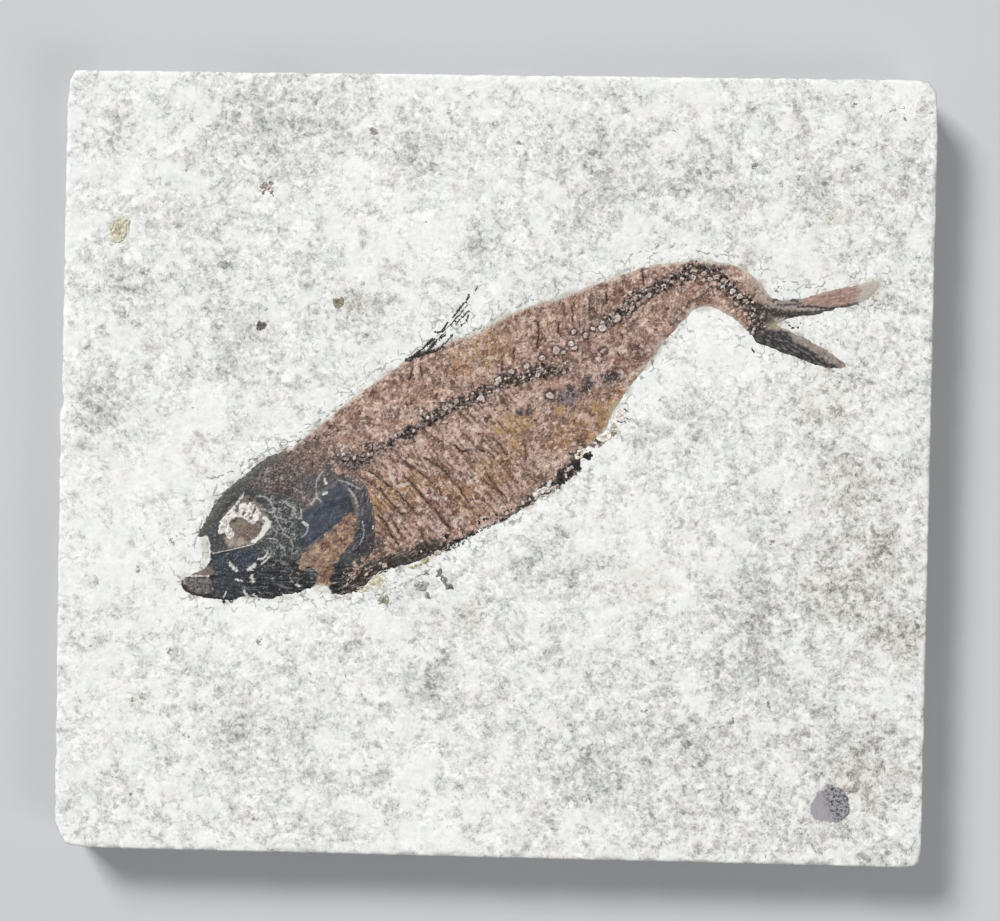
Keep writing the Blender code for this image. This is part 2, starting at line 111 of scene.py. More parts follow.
TAIL_STRIPES = [
    ([(38.0, 20.2), (39.2, 20.3), (41.0, 20.5), (43.0, 20.9), (45.2, 21.5),
      (46.8, 22.0)], 0.30, "3A3534"),
    ([(32.5, 21.9), (33.7, 21.3), (35.0, 20.9), (36.2, 20.5), (37.6, 20.4),
      (39.1, 20.3)], 0.50, "2E2A29"),
    ([(39.1, 21.4), (40.4, 21.5), (41.9, 21.4), (43.2, 21.3), (44.8, 21.4),
      (46.1, 21.7)], 0.15, "2E2725"),
    ([(38.7, 20.2), (39.8, 20.6), (41.5, 20.8), (43.3, 20.9), (45.0, 21.2),
      (46.5, 21.7)], 0.22, "3A3634"),
    ([(35.9, 22.2), (36.9, 22.4), (38.0, 22.5), (38.9, 22.1)], 0.22, "35312F"),
    ([(36.4, 21.6), (37.8, 21.6), (39.4, 21.8)], 0.14, "4A4644"),
    ([(39.6, 22.4), (41.2, 23.2), (43.0, 23.6), (45.0, 24.4), (46.6, 24.8)], 0.12, "8F8078")]

# Chalk in the eye: a broken hook on its left, a smooth crescent on its right.
EYE_HOOK = [(-35.6, -8.5), (-34.7, -7.8), (-33.9, -6.7), (-32.8, -6.0), (-32.0, -6.0),
    (-30.9, -6.4), (-30.4, -7.0), (-30.3, -7.7), (-31.3, -8.6), (-31.9, -8.6), (-32.6, -8.0),
    (-33.4, -7.8), (-34.1, -8.0), (-34.3, -8.6), (-34.1, -9.5), (-33.6, -10.2), (-34.2, -10.6),
    (-34.7, -10.0), (-35.2, -9.1)]
EYE_CRESCENT = [(-30.0, -7.7), (-29.4, -7.7), (-29.0, -8.2), (-29.0, -9.2), (-29.5, -9.8),
    (-30.1, -10.5), (-31.0, -11.1), (-31.4, -11.0), (-30.6, -10.1), (-30.1, -9.2), (-29.8, -8.3)]

# Pale strokes on the head and the film, each a path and its half width.
HEAD_WHITE = [
    ([(-32.6, -4.7), (-33.1, -5.6), (-33.9, -6.5), (-34.8, -7.6)], 0.13),
    ([(-36.4, -12.6), (-34.6, -12.2), (-32.7, -11.7), (-31.2, -11.3)], 0.05),
    ([(-39.3, -15.7), (-38.0, -15.6), (-36.9, -15.6)], 0.10),
    ([(-34.2, -13.8), (-33.8, -14.4), (-33.3, -14.7)], 0.22),
    ([(-31.7, -14.6), (-31.2, -14.3), (-31.0, -14.0)], 0.26),
    ([(-33.3, -15.9), (-32.6, -16.1)], 0.13), ([(-31.3, -15.5), (-31.1, -16.2)], 0.2),
    ([(-32.3, -17.4), (-31.9, -18.0), (-31.5, -18.3)], 0.15),
    ([(-31.0, -17.9), (-30.4, -18.3)], 0.15), ([(-34.6, -17.6), (-34.9, -18.4)], 0.10),
    ([(-25.4, -16.4), (-25.1, -16.6)], 0.17), ([(-24.7, -8.3), (-24.2, -8.6)], 0.18),
    ([(-22.2, -4.5), (-21.7, -4.3)], 0.15), ([(-22.1, -2.6), (-21.9, -3.2)], 0.17),
    ([(-29.3, -12.4), (-29.8, -13.1), (-30.5, -13.2)], 0.12),
    ([(-29.0, -12.8), (-29.6, -13.5), (-30.0, -13.8)], 0.12)]
HEAD_PALE = [
    ([(-30.8, -5.0), (-29.9, -5.1), (-29.1, -5.7), (-28.7, -6.6)], 0.15),
    ([(-30.6, -6.6), (-29.8, -6.8), (-28.8, -7.1), (-28.5, -6.5)], 0.15),
    ([(-28.7, -7.6), (-27.1, -8.0)], 0.10),
    ([(-27.2, -5.6), (-26.5, -6.1), (-25.9, -6.7), (-26.1, -7.4)], 0.24),
    ([(-26.5, -7.8), (-25.8, -7.6), (-25.0, -7.8), (-25.1, -6.5)], 0.14),
    ([(-24.7, -8.4), (-24.1, -8.8), (-24.3, -9.7), (-24.9, -10.2)], 0.12),
    ([(-28.0, -8.9), (-28.2, -9.6), (-29.1, -8.5)], 0.12),
    ([(-29.0, -10.5), (-28.2, -10.6), (-27.7, -11.3), (-27.0, -12.0), (-27.0, -12.6)], 0.12),
    ([(-28.4, -7.4), (-27.9, -8.6), (-27.3, -9.4)], 0.10),
    ([(-27.1, -9.9), (-26.3, -10.6), (-26.0, -11.6)], 0.11),
    ([(-22.3, -1.6), (-23.0, -2.5), (-23.2, -3.8), (-23.1, -4.9), (-23.8, -5.9)], 0.12),
    ([(-23.1, -4.9), (-22.4, -5.5)], 0.10), ([(-18.9, -3.8), (-18.1, -4.8), (-17.7, -6.0)], 0.17),
    ([(-20.3, -2.6), (-18.8, -3.1), (-17.4, -3.8)], 0.14),
    ([(-17.0, -8.0), (-16.8, -9.6), (-17.3, -11.0)], 0.10)]
# Chalk lumps in the eye: (x, y, length, width, turn in degrees).
EYE_LUMPS = [(-35.3, -9.3, 1.7, 1.1, 80), (-34.4, -9.7, 1.2, 0.9, 70), (-34.8, -8.3, 1.4, 1.1, 60),
    (-32.6, -6.6, 1.1, 0.7, 30), (-31.7, -6.4, 0.9, 0.7, 70), (-31.9, -7.4, 1.2, 0.6, 20),
    (-33.2, -7.4, 0.9, 0.5, 40), (-31.3, -8.3, 0.7, 0.6, 0), (-30.8, -7.2, 0.9, 0.6, 120),
    (-34.7, -8.2, 0.9, 0.7, 40), (-34.9, -9.2, 1.0, 0.6, 100), (-34.3, -10.1, 0.9, 0.6, 120),
    (-33.9, -6.9, 0.8, 0.4, 45)]
FILM_WHITE_LINES = [
    ([(-13.7, -1.3), (-13.2, -2.6), (-12.6, -3.3), (-11.7, -3.1), (-11.0, -2.8)], 0.28),
    ([(-8.1, -3.4), (-7.9, -4.7), (-7.3, -4.8)], 0.25),
    ([(-9.4, 0.3), (-8.6, -1.0), (-8.4, -1.7)], 0.15), ([(-12.2, -6.6), (-11.6, -6.4)], 0.25),
    ([(-3.5, -2.7), (-3.1, -2.5)], 0.3), ([(-4.9, -7.6), (-4.5, -7.3)], 0.42),
    ([(9.1, -1.4), (9.7, -0.9)], 0.12),
    ([(5.5, -4.1), (6.2, -3.9), (7.2, -3.4), (7.5, -3.0)], 0.52),
    ([(7.0, -2.7), (7.4, -2.2)], 0.20), ([(8.0, -1.2), (8.5, -0.7)], 0.12)]
SCUTE_LINES = [
    ([(5.7, -3.5), (7.7, -2.8)], 0.14), ([(5.8, -3.95), (7.6, -3.6)], 0.12),
    ([(6.1, -4.5), (7.2, -4.1)], 0.16), ([(7.7, -2.5), (9.0, -1.6)], 0.30),
    ([(8.5, -1.0), (9.6, -0.3), (10.8, 0.2)], 0.35)]

RIBS = [
    [(-17.6, -2.0), (-15.7, -3.3), (-14.8, -3.9), (-13.9, -4.9), (-12.8, -6.0), (-11.9, -6.9)],
    [(-16.4, -1.4), (-15.3, -2.0), (-14.2, -2.9), (-12.7, -3.8), (-12.0, -4.6), (-11.1, -5.6),
      (-10.4, -6.2)],
    [(-11.8, -2.0), (-11.0, -2.6), (-10.1, -3.5), (-9.4, -4.3), (-8.7, -5.1), (-7.4, -6.4),
      (-6.5, -7.8), (-5.8, -8.4)],
    [(-11.7, -0.1), (-10.4, -0.9), (-9.2, -1.8), (-8.1, -2.7), (-7.2, -3.5), (-6.8, -4.3)],
    [(-9.3, 0.5), (-8.2, 0.0), (-7.1, -0.7), (-6.2, -1.5), (-5.5, -2.3), (-4.6, -3.1), (-4.0, -4.2),
      (-3.3, -5.1)],
    [(-5.9, 2.5), (-5.0, 2.1), (-4.3, 1.5), (-3.0, 1.7), (-1.3, 1.6), (-0.4, 1.2), (0.0, 0.8)],
    [(-1.1, 3.5), (-0.2, 3.1), (0.7, 2.4), (1.3, 1.6), (1.6, 1.1)],
    [(-1.4, -2.4), (-0.3, -2.9), (0.6, -3.6), (1.3, -4.1), (1.7, -4.9)],
    [(-15.0, -7.1), (-14.1, -7.9), (-13.4, -9.4), (-12.3, -10.8)], [(-0.9, -1.5), (0.1, -2.6)],
    [(-9.4, -9.0), (-8.9, -10.3), (-8.6, -11.1)], [(-6.9, -7.2), (-6.0, -8.1), (-5.6, -8.7)],
    [(3.6, 2.9), (4.1, 1.6), (4.0, 0.4)], [(-13.7, -6.9), (-12.6, -8.6), (-11.9, -9.7)]]
BACK_SPINES = [
    [(5.2, 18.7), (5.3, 17.2), (5.2, 15.3)], [(7.8, 18.6), (7.9, 17.2)], [(9.6, 20.6), (9.7, 18.3)],
    [(11.9, 21.6), (12.0, 19.1)], [(14.0, 22.6), (14.1, 21.5), (14.0, 20.4)],
    [(18.7, 25.8), (18.8, 24.0)], [(0.7, 13.3), (0.7, 12.2)], [(2.2, 15.1), (2.2, 13.4)],
    [(-11.0, 12.2), (-11.4, 10.6)], [(-10.0, 12.4), (-9.7, 11.2)]]
# Back fin: paths of crumbled rays and how thick the crumbs lie across them.
FIN_RAYS = [
    ([(-12.0, 13.1), (-11.2, 13.4), (-10.2, 13.9), (-9.2, 14.3), (-8.0, 14.5), (-7.0, 15.1)], 0.30),
    ([(-10.9, 13.8), (-9.8, 14.6), (-9.1, 15.4), (-8.3, 16.0)], 0.20),
    ([(-9.1, 14.4), (-8.3, 15.3), (-7.6, 16.1), (-6.7, 16.7)], 0.14),
    ([(-7.0, 15.4), (-6.4, 16.0), (-5.8, 16.7)], 0.11),
    ([(-8.3, 17.0), (-7.3, 17.0), (-6.9, 17.7), (-6.5, 18.3)], 0.14),
    ([(-5.9, 18.9), (-5.4, 19.6), (-4.8, 20.4), (-4.2, 21.1), (-3.9, 22.0)], 0.11),
    ([(-5.6, 18.0), (-4.8, 18.8), (-4.1, 19.7), (-3.7, 20.0)], 0.24),
    ([(-4.9, 17.8), (-4.2, 18.4), (-3.9, 19.3)], 0.16)]
# Crumbs below the keel; the last two rows are the same, for crumbs twice as thick there.
BELLY_CRUMBS = [
    ([(-15.6, -15.0), (-14.0, -14.3), (-12.0, -13.4), (-8.9, -11.9), (-5.6, -10.6), (-2.7, -9.2),
      (0.3, -7.8), (3.3, -6.1)], 0.22),
    ([(-8.0, -12.0), (-6.6, -11.5), (-5.2, -11.0), (-3.6, -10.2)], 0.40),
    ([(-8.0, -12.0), (-6.6, -11.5), (-5.2, -11.0), (-3.6, -10.2)], 0.40)]
FIN_BONES = [
    ([(-8.9, 14.9), (-7.9, 15.9), (-6.9, 16.9), (-5.9, 17.9)], 0.24),
    ([(-6.9, 17.2), (-6.0, 18.2), (-5.0, 19.4), (-4.0, 20.6)], 0.20),
    ([(-12.0, 13.1), (-11.4, 13.3), (-10.6, 13.7), (-9.6, 14.1)], 0.75),
    ([(-10.4, 13.9), (-9.4, 14.3), (-8.2, 14.5), (-7.0, 15.1)], 0.42),
    ([(-11.2, 13.6), (-10.2, 14.4), (-9.4, 15.1), (-8.8, 15.7), (-8.3, 16.1)], 0.38),
    ([(-9.3, 14.4), (-8.5, 15.2), (-7.7, 16.0), (-6.7, 16.7)], 0.26),
    ([(-7.0, 15.4), (-6.4, 16.0), (-5.8, 16.7)], 0.16),
    ([(-8.3, 17.0), (-7.5, 16.95), (-7.0, 17.5), (-6.6, 18.3)], 0.20),
    ([(-5.9, 18.9), (-5.4, 19.6), (-4.8, 20.4), (-4.2, 21.1)], 0.20),
    ([(-4.2, 21.1), (-3.9, 21.6), (-3.8, 22.1)], 0.14),
    ([(-5.6, 18.0), (-4.8, 18.8), (-4.1, 19.6)], 0.20), ([(-3.0, 22.4), (-2.8, 23.2)], 0.12)]
# Chips set one by one: (x, y, length, width, turn in degrees), and for shards a colour.
PEARLS = [(-6.6, 7.1, 0.9, 0.6, 30), (-5.2, 7.9, 0.8, 0.6, 60), (-2.0, 8.5, 1.0, 0.7, 20),
    (0.3, 10.8, 1.1, 0.9, 70), (1.9, 12.0, 0.8, 0.7, 0), (3.9, 12.8, 0.9, 0.7, 60),
    (5.9, 13.9, 0.8, 0.7, 0), (7.7, 14.9, 1.1, 0.9, 80), (9.6, 15.9, 0.8, 0.7, 0),
    (9.9, 17.4, 0.8, 0.5, 70), (11.5, 17.0, 0.9, 0.7, 70), (13.6, 18.0, 1.0, 0.9, 0),
    (15.5, 19.2, 1.1, 0.9, 50), (17.4, 20.6, 0.8, 0.6, 30), (8.6, 14.7, 0.6, 0.5, 0),
    (10.1, 15.3, 0.7, 0.5, 20), (26.7, 25.4, 0.8, 0.7, 0), (30.5, 23.2, 0.8, 0.7, 40),
    (7.0, 9.0, 1.2, 0.8, 160), (13.8, 15.0, 0.8, 0.5, 20), (23.9, 24.7, 0.6, 0.5, 0),
    (21.5, 23.6, 0.8, 0.6, 30), (28.3, 25.0, 0.8, 0.6, 0), (12.4, 17.9, 0.7, 0.5, 0),
    (19.6, 22.4, 0.7, 0.6, 20), (18.2, 21.2, 0.8, 0.5, 60), (25.3, 24.9, 0.7, 0.6, 0),
    (27.5, 24.7, 0.6, 0.5, 0), (29.5, 24.5, 0.8, 0.6, 50), (31.4, 22.5, 0.8, 0.7, 20),
    (32.4, 21.9, 0.7, 0.5, 0), (31.0, 21.6, 0.6, 0.5, 0), (33.2, 20.2, 0.6, 0.4, 60),
    (22.6, 24.2, 0.7, 0.5, 0), (32.7, 19.8, 0.5, 0.4, 0), (29.3, 23.7, 0.6, 0.4, 0)]
SHARDS = [(6.5, -3.2, 1.9, 0.6, 18, "F4F2EE"), (6.1, -3.8, 1.1, 0.3, 18, "F0EEEA"),
    (9.9, -0.4, 1.1, 0.5, 40, "D9D4CD"), (9.7, -1.3, 1.3, 0.45, 40, "33302F"),
    (10.8, -0.5, 1.1, 0.6, 30, "2A2C2C"), (9.9, 0.2, 0.9, 0.3, 20, "3B3838"),
    (8.7, -2.1, 1.1, 0.35, 40, "333030"), (9.4, -0.5, 0.8, 0.3, 60, "CFC8C0"),
    (10.3, -0.2, 0.6, 0.3, 10, "D8D2CA"), (12.2, 1.3, 1.25, 1.1, 60, "32352C"),
    (11.2, 1.6, 2.0, 1.0, 50, "F0ECE0"), (14.1, 3.8, 2.1, 1.1, 10, "F6F4EA"),
    (13.2, 3.3, 1.7, 0.45, -35, "474C38"), (15.3, 4.3, 1.1, 0.5, 10, "A9A88C"),
    (12.7, 2.7, 0.9, 0.5, 20, "9A7F74"), (13.7, 2.9, 1.2, 0.5, 20, "A39A90"),
    (16.2, 6.7, 1.6, 1.4, 60, "F6F4EE"), (16.9, 7.4, 0.9, 0.14, 130, "77776F"),
    (16.4, 5.8, 1.3, 0.14, 5, "6F6F68"), (17.2, 6.2, 0.9, 0.12, -45, "7F7F78"),
    (15.4, 5.3, 1.1, 0.7, 80, "E9DCCB"), (1.1, -7.2, 0.6, 0.5, 50, "302A28"),
    (-2.5, -9.2, 0.7, 0.5, 10, "2D2A28"), (-6.0, -9.6, 0.9, 0.5, 20, "2A2625"),
    (-4.8, -10.1, 0.9, 0.4, 20, "2E2A2A"), (-14.7, -15.8, 2.3, 1.8, 60, "E9E6D4"),
    (-15.4, -16.0, 0.9, 0.7, 0, "CFCBA0"), (-16.8, -16.8, 2.4, 0.6, 8, "E2E2CC"),
    (-10.0, -13.7, 1.9, 0.5, 18, "C2C59A"), (-8.6, -12.9, 0.9, 0.6, 60, "C0BF8C"),
    (-7.2, -11.9, 1.0, 0.5, 20, "D6C9B4"), (-8.6, -14.5, 0.7, 0.6, 0, "9C9C98"),
    (-6.9, -14.5, 1.2, 0.7, 60, "8E8D89"), (-6.2, -15.4, 1.5, 0.8, 120, "949390"),
    (-5.6, -16.2, 1.0, 0.7, 0, "858488"), (-9.2, -16.2, 2.1, 1.2, 20, "B3B3AE"),
    (-8.3, -17.5, 1.1, 0.5, 130, "999894"), (-14.0, -18.3, 2.0, 1.5, 80, "AEAA9B"),
    (38.0, 19.0, 0.5, 0.2, 0, "3A3634"), (38.4, 18.8, 0.35, 0.2, 30, "454040"),
    (39.1, 18.6, 0.4, 0.18, 0, "3A3634"), (39.6, 19.2, 0.2, 0.2, 0, "3A3634"),
    (-49.7, 29.3, 3.7, 2.4, 68, "DEDCC6"), (-31.0, 35.5, 1.0, 0.6, 20, "B0A79F"),
    (-30.1, 35.9, 0.8, 0.5, 120, "B8B0A4"), (-30.9, 34.7, 1.1, 0.4, 60, "A4958C"),
    (-29.9, 34.6, 0.9, 0.5, 130, "9E8F88"), (-30.3, 35.1, 0.9, 0.6, 50, "EBDCD5"),
    (-20.8, 20.5, 1.7, 1.3, 0, "9C9B84"), (-35.8, 25.2, 1.2, 0.9, 30, "BEBEBB"),
    (-46.5, 23.8, 0.8, 0.4, -30, "A9A9A7"), (-16.9, 43.0, 1.1, 0.8, 0, "BAB7B2"),
    (-30.8, 17.3, 1.2, 0.9, 20, "74716B"), (-31.2, 16.9, 0.6, 0.5, 0, "5D5A55"),
    (33.0, 39.6, 0.9, 0.6, 40, "A8A39D"), (43.9, 13.2, 0.7, 0.14, -10, "4A4442"),
    (33.4, 15.6, 0.8, 0.2, 110, "4A4644"), (-33.9, -18.8, 0.7, 0.35, 100, "2B2929"),
    (-34.9, -18.7, 0.6, 0.3, 80, "312F2F"), (-30.2, -18.6, 0.6, 0.3, 90, "302E2E")]

# Hairline cracks in the stone, each a path and its width.
CRACKS = [
    ([(48.9, 46.3), (50.8, 47.3), (52.4, 47.8), (54.3, 47.6), (56.0, 47.2)], 0.16),
    ([(-39.7, -15.5), (-38.9, -12.9), (-38.8, -10.9), (-37.6, -7.6), (-36.2, -5.4), (-34.4, -3.7),
      (-31.9, -1.0), (-29.3, 0.7), (-26.7, 1.6)], 0.15),
    ([(-33.4, -1.0), (-31.9, -0.3), (-29.9, 0.5), (-25.5, 3.4), (-22.9, 5.1), (-20.3, 7.1),
      (-17.8, 9.8), (-14.6, 12.5), (-12.7, 13.5)], 0.13),
    ([(-37.7, -2.7), (-35.5, -2.5), (-33.2, -1.1), (-31.1, 0.1), (-29.1, 1.0)], 0.15),
    ([(-7.2, 15.5), (-5.2, 16.3), (-3.1, 17.4), (-1.1, 18.4), (0.9, 19.9), (3.2, 21.0),
      (6.2, 22.1)], 0.13),
    ([(17.0, 27.6), (19.1, 28.2), (20.9, 28.0), (21.9, 28.9), (24.0, 29.2), (26.1, 28.3),
      (28.6, 28.0), (30.4, 27.7)], 0.15),
    ([(35.8, 23.4), (36.8, 24.6), (38.6, 24.6), (40.1, 23.9), (41.4, 24.1), (42.7, 24.8)], 0.16),
    ([(56.6, -46.3), (56.1, -47.5), (55.5, -48.5), (54.6, -49.9), (54.1, -50.9)], 0.15),
    ([(56.5, -46.9), (55.7, -48.3), (55.1, -49.7), (54.6, -50.9)], 0.12),
    ([(-22.0, -17.9), (-16.2, -17.9), (-12.4, -16.3), (-8.0, -14.0)], 0.12)]

# Round patches as (x, y, radius): where the stone is greyer, whiter or tan, and where the
# film on the fish is pale, ochre or slate grey.
GREY_GROUND = [(34.5, -17.0, 4.6), (34.2, -24.8, 3.9), (45.6, -17.0, 2.6), (5.5, -14.6, 3.0),
    (11.0, -14.8, 3.0), (51.2, -9.0, 3.0), (44.0, 2.8, 3.2), (45.6, 12.6, 3.2), (-34.8, 12.0, 3.0),
    (-19.3, 20.2, 2.4), (-3.8, 23.2, 1.8), (-13.4, -18.4, 1.8), (14.7, -39.0, 5.9),
    (27.7, -35.4, 3.9), (26.7, 6.3, 3.3), (6.5, -10.5, 3.3), (-48.1, 21.5, 3.7), (-51.6, 6.4, 4.2),
    (-34.8, 15.0, 1.8), (-13.2, -16.0, 2.2), (22.5, 16.0, 1.8), (35.3, 24.6, 1.8),
    (-39.6, -14.0, 1.4), (-8.1, -15.0, 2.6), (-34.5, 1.6, 2.4), (38.1, 19.3, 1.4),
    (-1.0, 18.2, 1.6), (6.7, 23.6, 2.4), (32.7, 27.0, 2.4), (14.4, 26.6, 2.4), (43.8, -7.6, 2.2),
    (-35.0, 20.2, 3.0), (28.5, -17.8, 2.0), (49.0, -1.6, 2.0), (-37.7, 25.0, 2.0),
    (41.6, 36.7, 2.6), (53.2, 39.6, 2.1), (-49.9, 42.3, 2.6), (-33.0, 44.0, 6.5),
    (-22.5, 42.9, 5.2), (-10.7, 39.3, 3.9), (-2.6, 29.1, 2.6), (12.8, 37.3, 6.5), (25.9, 38.9, 5.2),
    (18.9, 3.5, 2.6), (-7.7, -28.4, 3.9), (-31.0, -35.5, 3.9), (48.6, -36.2, 5.2),
    (-15.4, 20.9, 1.6), (49.9, 24.4, 1.6), (53.4, -19.1, 3.9)]
WHITE_GROUND = [(20.6, -12.7, 3.0), (29.5, -12.3, 3.0), (28.0, 5.7, 2.2), (35.9, 0.7, 2.4),
    (42.2, -4.0, 2.4), (40.3, 0.6, 1.4), (23.3, -15.3, 2.0), (-11.5, 20.4, 2.0), (45.9, 19.2, 1.6),
    (25.9, -18.2, 2.4), (39.2, 28.1, 3.9), (49.5, 5.6, 3.9), (51.9, -28.9, 4.2), (-19.8, 37.8, 4.6),
    (-9.2, 31.5, 5.2), (-44.9, -3.3, 4.6), (-48.5, -13.8, 5.2), (-49.4, -32.1, 3.9),
    (29.7, 15.5, 4.6), (19.1, -6.9, 3.9), (14.3, -21.1, 2.8), (6.4, -17.7, 2.2), (-8.7, -40.2, 3.3),
    (-31.4, -21.2, 3.3), (-5.9, -48.0, 2.6), (17.0, 29.6, 3.3), (25.6, 48.0, 2.6),
    (-37.2, 4.8, 3.9), (-44.6, 37.8, 2.3), (-53.2, 16.1, 1.6), (27.5, -30.2, 1.6),
    (38.8, -39.0, 1.6), (52.4, 48.7, 2.6), (37.8, -22.1, 1.0)]
TAN_GROUND = [(-19.3, 20.2, 2.4), (46.7, -15.0, 4.6), (42.9, 9.3, 3.3), (43.0, 32.2, 2.6),
    (50.5, -11.5, 3.5), (54.1, -21.7, 2.6), (47.5, -40.1, 3.0), (-2.7, -20.5, 2.6),
    (19.3, -14.7, 3.9), (45.1, -2.4, 3.9), (-46.8, -32.0, 2.6)]
PALE_FILM = [(-13.7, 2.9, 2.0), (-8.2, -8.8, 0.9), (-3.2, -6.3, 0.8), (6.1, 0.8, 1.1),
    (-12.5, -1.8, 0.7), (-4.8, -7.5, 0.6), (-3.3, -2.7, 0.35), (-15.2, 0.5, 1.6), (-9.8, 2.2, 1.4),
    (-6.3, 4.2, 2.1), (-3.0, 2.3, 1.2), (-2.0, 6.3, 2.1), (2.5, 8.1, 1.8), (6.4, 9.1, 1.2),
    (-7.5, -4.2, 0.8), (-4.7, -7.5, 0.7), (-3.4, -6.3, 1.2), (-7.7, -8.6, 1.6), (7.0, 0.6, 1.2),
    (7.9, -1.1, 1.4), (0.2, 8.9, 1.3), (13.5, 12.3, 1.6), (18.5, 17.9, 1.6), (20.6, 15.3, 1.0),
    (-20.3, 3.9, 1.3), (0.8, -4.7, 1.3), (-21.6, 5.8, 1.0)]
OCHRE_FILM = [(-14.8, -5.5, 1.2), (-14.2, -4.5, 2.1), (-11.1, -4.1, 1.6), (-9.8, -2.1, 1.2),
    (-7.0, -2.9, 1.2), (1.9, 5.1, 1.4), (3.4, 5.8, 1.0), (2.8, 2.1, 1.4), (0.5, -0.6, 1.8),
    (-0.7, -1.5, 1.8), (14.3, 6.3, 1.2), (15.8, 9.3, 1.0), (8.4, 7.2, 0.7), (12.4, 3.4, 1.6),
    (-3.1, -4.8, 2.1), (10.4, 4.6, 1.8), (-1.0, 15.4, 2.3), (-4.8, 12.7, 1.6), (26.1, 26.9, 1.3),
    (8.5, 3.3, 1.6)]
MUSTARD_FILM = [(1.0, 4.9, 1.5), (2.3, 5.2, 1.5), (3.8, 5.9, 1.3), (14.3, 6.6, 1.5),
    (15.4, 7.7, 0.9), (8.4, 7.2, 0.6), (2.6, 3.0, 1.1), (13.2, 7.9, 0.9), (-15.6, -6.0, 0.7),
    (-15.1, -7.0, 0.6)]
SLATE_FILM = [(9.6, 9.3, 1.0), (12.0, 10.8, 0.7), (11.9, 10.1, 0.6), (14.6, 11.6, 0.8),
    (15.4, 11.9, 0.6), (3.1, 6.7, 0.5), (4.2, 6.8, 0.5), (-18.8, -0.3, 1.0), (-14.9, -10.9, 0.8),
    (8.5, 8.5, 0.6)]


# ---------------------------------------------------------------- shapes on the plane

def smooth(points, step, looped=False):
    """Points about one step apart on a curve through the given ones."""
    p = np.array(points, float)
    count = len(p)
    out = []
    for i in range(count if looped else count - 1):
        a, b = p[i], p[(i + 1) % count]
        before = p[i - 1] if looped or i > 0 else 2 * a - b
        after = p[(i + 2) % count] if looped or i + 2 < count else 2 * b - a
        chord = np.linalg.norm(b - a)
        lead = (b - before) * chord / (np.linalg.norm(a - before) + chord)
        trail = (after - a) * chord / (np.linalg.norm(after - b) + chord)
        pieces = max(1, round(chord / step))
        for k in range(pieces):
            t = k / pieces
            out.append((2 * t**3 - 3 * t**2 + 1) * a + (t**3 - 2 * t**2 + t) * lead
                       + (3 * t**2 - 2 * t**3) * b + (t**3 - t**2) * trail)
    if not looped:
        out.append(p[-1])
    return np.array(out)


def along_path(spots, path):
    """Distance of each spot from a path, and how far along the path it is nearest."""
    best = np.full(len(spots), 1e9)
    along = np.zeros(len(spots))
    run = 0.0
    for a, b in zip(path[:-1], path[1:]):
        leg = b - a
        length = math.hypot(*leg)
        t = np.clip((spots - a) @ leg / length**2, 0, 1)
        gap = np.hypot(*(spots - a - t[:, None] * leg).T)
        closer = gap < best
        best[closer] = gap[closer]
        along[closer] = run + t[closer] * length
        run += length
    return best, along


def inside(spots, loop):
    """Which spots lie within a closed loop."""
    hit = np.zeros(len(spots), bool)
    for (ax, ay), (bx, by) in zip(loop, np.roll(loop, -1, axis=0)):
        if ay != by:
            spans = (ay > spots[:, 1]) != (by > spots[:, 1])
            hit ^= spans & (spots[:, 0] < ax + (spots[:, 1] - ay) * (bx - ax) / (by - ay))
    return hit


def depth_in(spots, loop):
    """How deep each spot lies inside a closed loop; below nought outside it."""
    gap = along_path(spots, np.vstack([loop, loop[:1]]))[0]
    return np.where(inside(spots, loop), gap, -gap)


def charted(loop, pitch=0.2, margin=16.0):
    """A quick reader of depth_in(loop), from depths worked out once on a fine grid."""
    low = loop.min(axis=0) - margin
    across, up = np.ceil((loop.max(axis=0) + margin - low) / pitch).astype(int)
    gx, gy = np.meshgrid(low[0] + pitch * np.arange(across), low[1] + pitch * np.arange(up))
    chart = depth_in(np.column_stack([gx.ravel(), gy.ravel()]), loop).reshape(gx.shape)

    def read(spots):
        u = np.clip((spots[:, 0] - low[0]) / pitch, 0, across - 1.01)
        v = np.clip((spots[:, 1] - low[1]) / pitch, 0, up - 1.01)
        i, j = u.astype(int), v.astype(int)
        u, v = u - i, v - j
        return ((chart[j, i] * (1 - u) + chart[j, i + 1] * u) * (1 - v)
                + (chart[j + 1, i] * (1 - u) + chart[j + 1, i + 1] * u) * v)

    return read


def lattice(u, v, seed):
    """Gradient noise over a plane, about -1 to 1."""
    angles = np.random.default_rng(seed).uniform(0, 2 * math.pi, (64, 64))
    i, j = np.floor(u).astype(int), np.floor(v).astype(int)
    fu, fv = u - i, v - j

    def corner(a, b):
        angle = angles[(i + a) % 64, (j + b) % 64]
        return np.cos(angle) * (fu - a) + np.sin(angle) * (fv - b)

    su, sv = (f**3 * (f * (f * 6 - 15) + 10) for f in (fu, fv))
    near = corner(0, 0) * (1 - su) + corner(1, 0) * su
    far = corner(0, 1) * (1 - su) + corner(1, 1) * su
    return (near * (1 - sv) + far * sv) * 1.6


def uneven(spots, size, seed, octaves=3, fade=0.5):
    """Natural unevenness, about -1 to 1, with swellings of the given size."""
    total = np.zeros(len(spots))
    strength, whole = 1.0, 0.0
    for k in range(octaves):
        c, s = math.cos(seed + 2.1 * k), math.sin(seed + 2.1 * k)
        u = (spots[:, 0] * c - spots[:, 1] * s) / size + 17.3 * k
        v = (spots[:, 0] * s + spots[:, 1] * c) / size + 9.1 * k
        total += strength * lattice(u, v, 100 * seed + k)
        whole += strength
        strength *= fade
        size /= 2
    return total / whole * 1.3


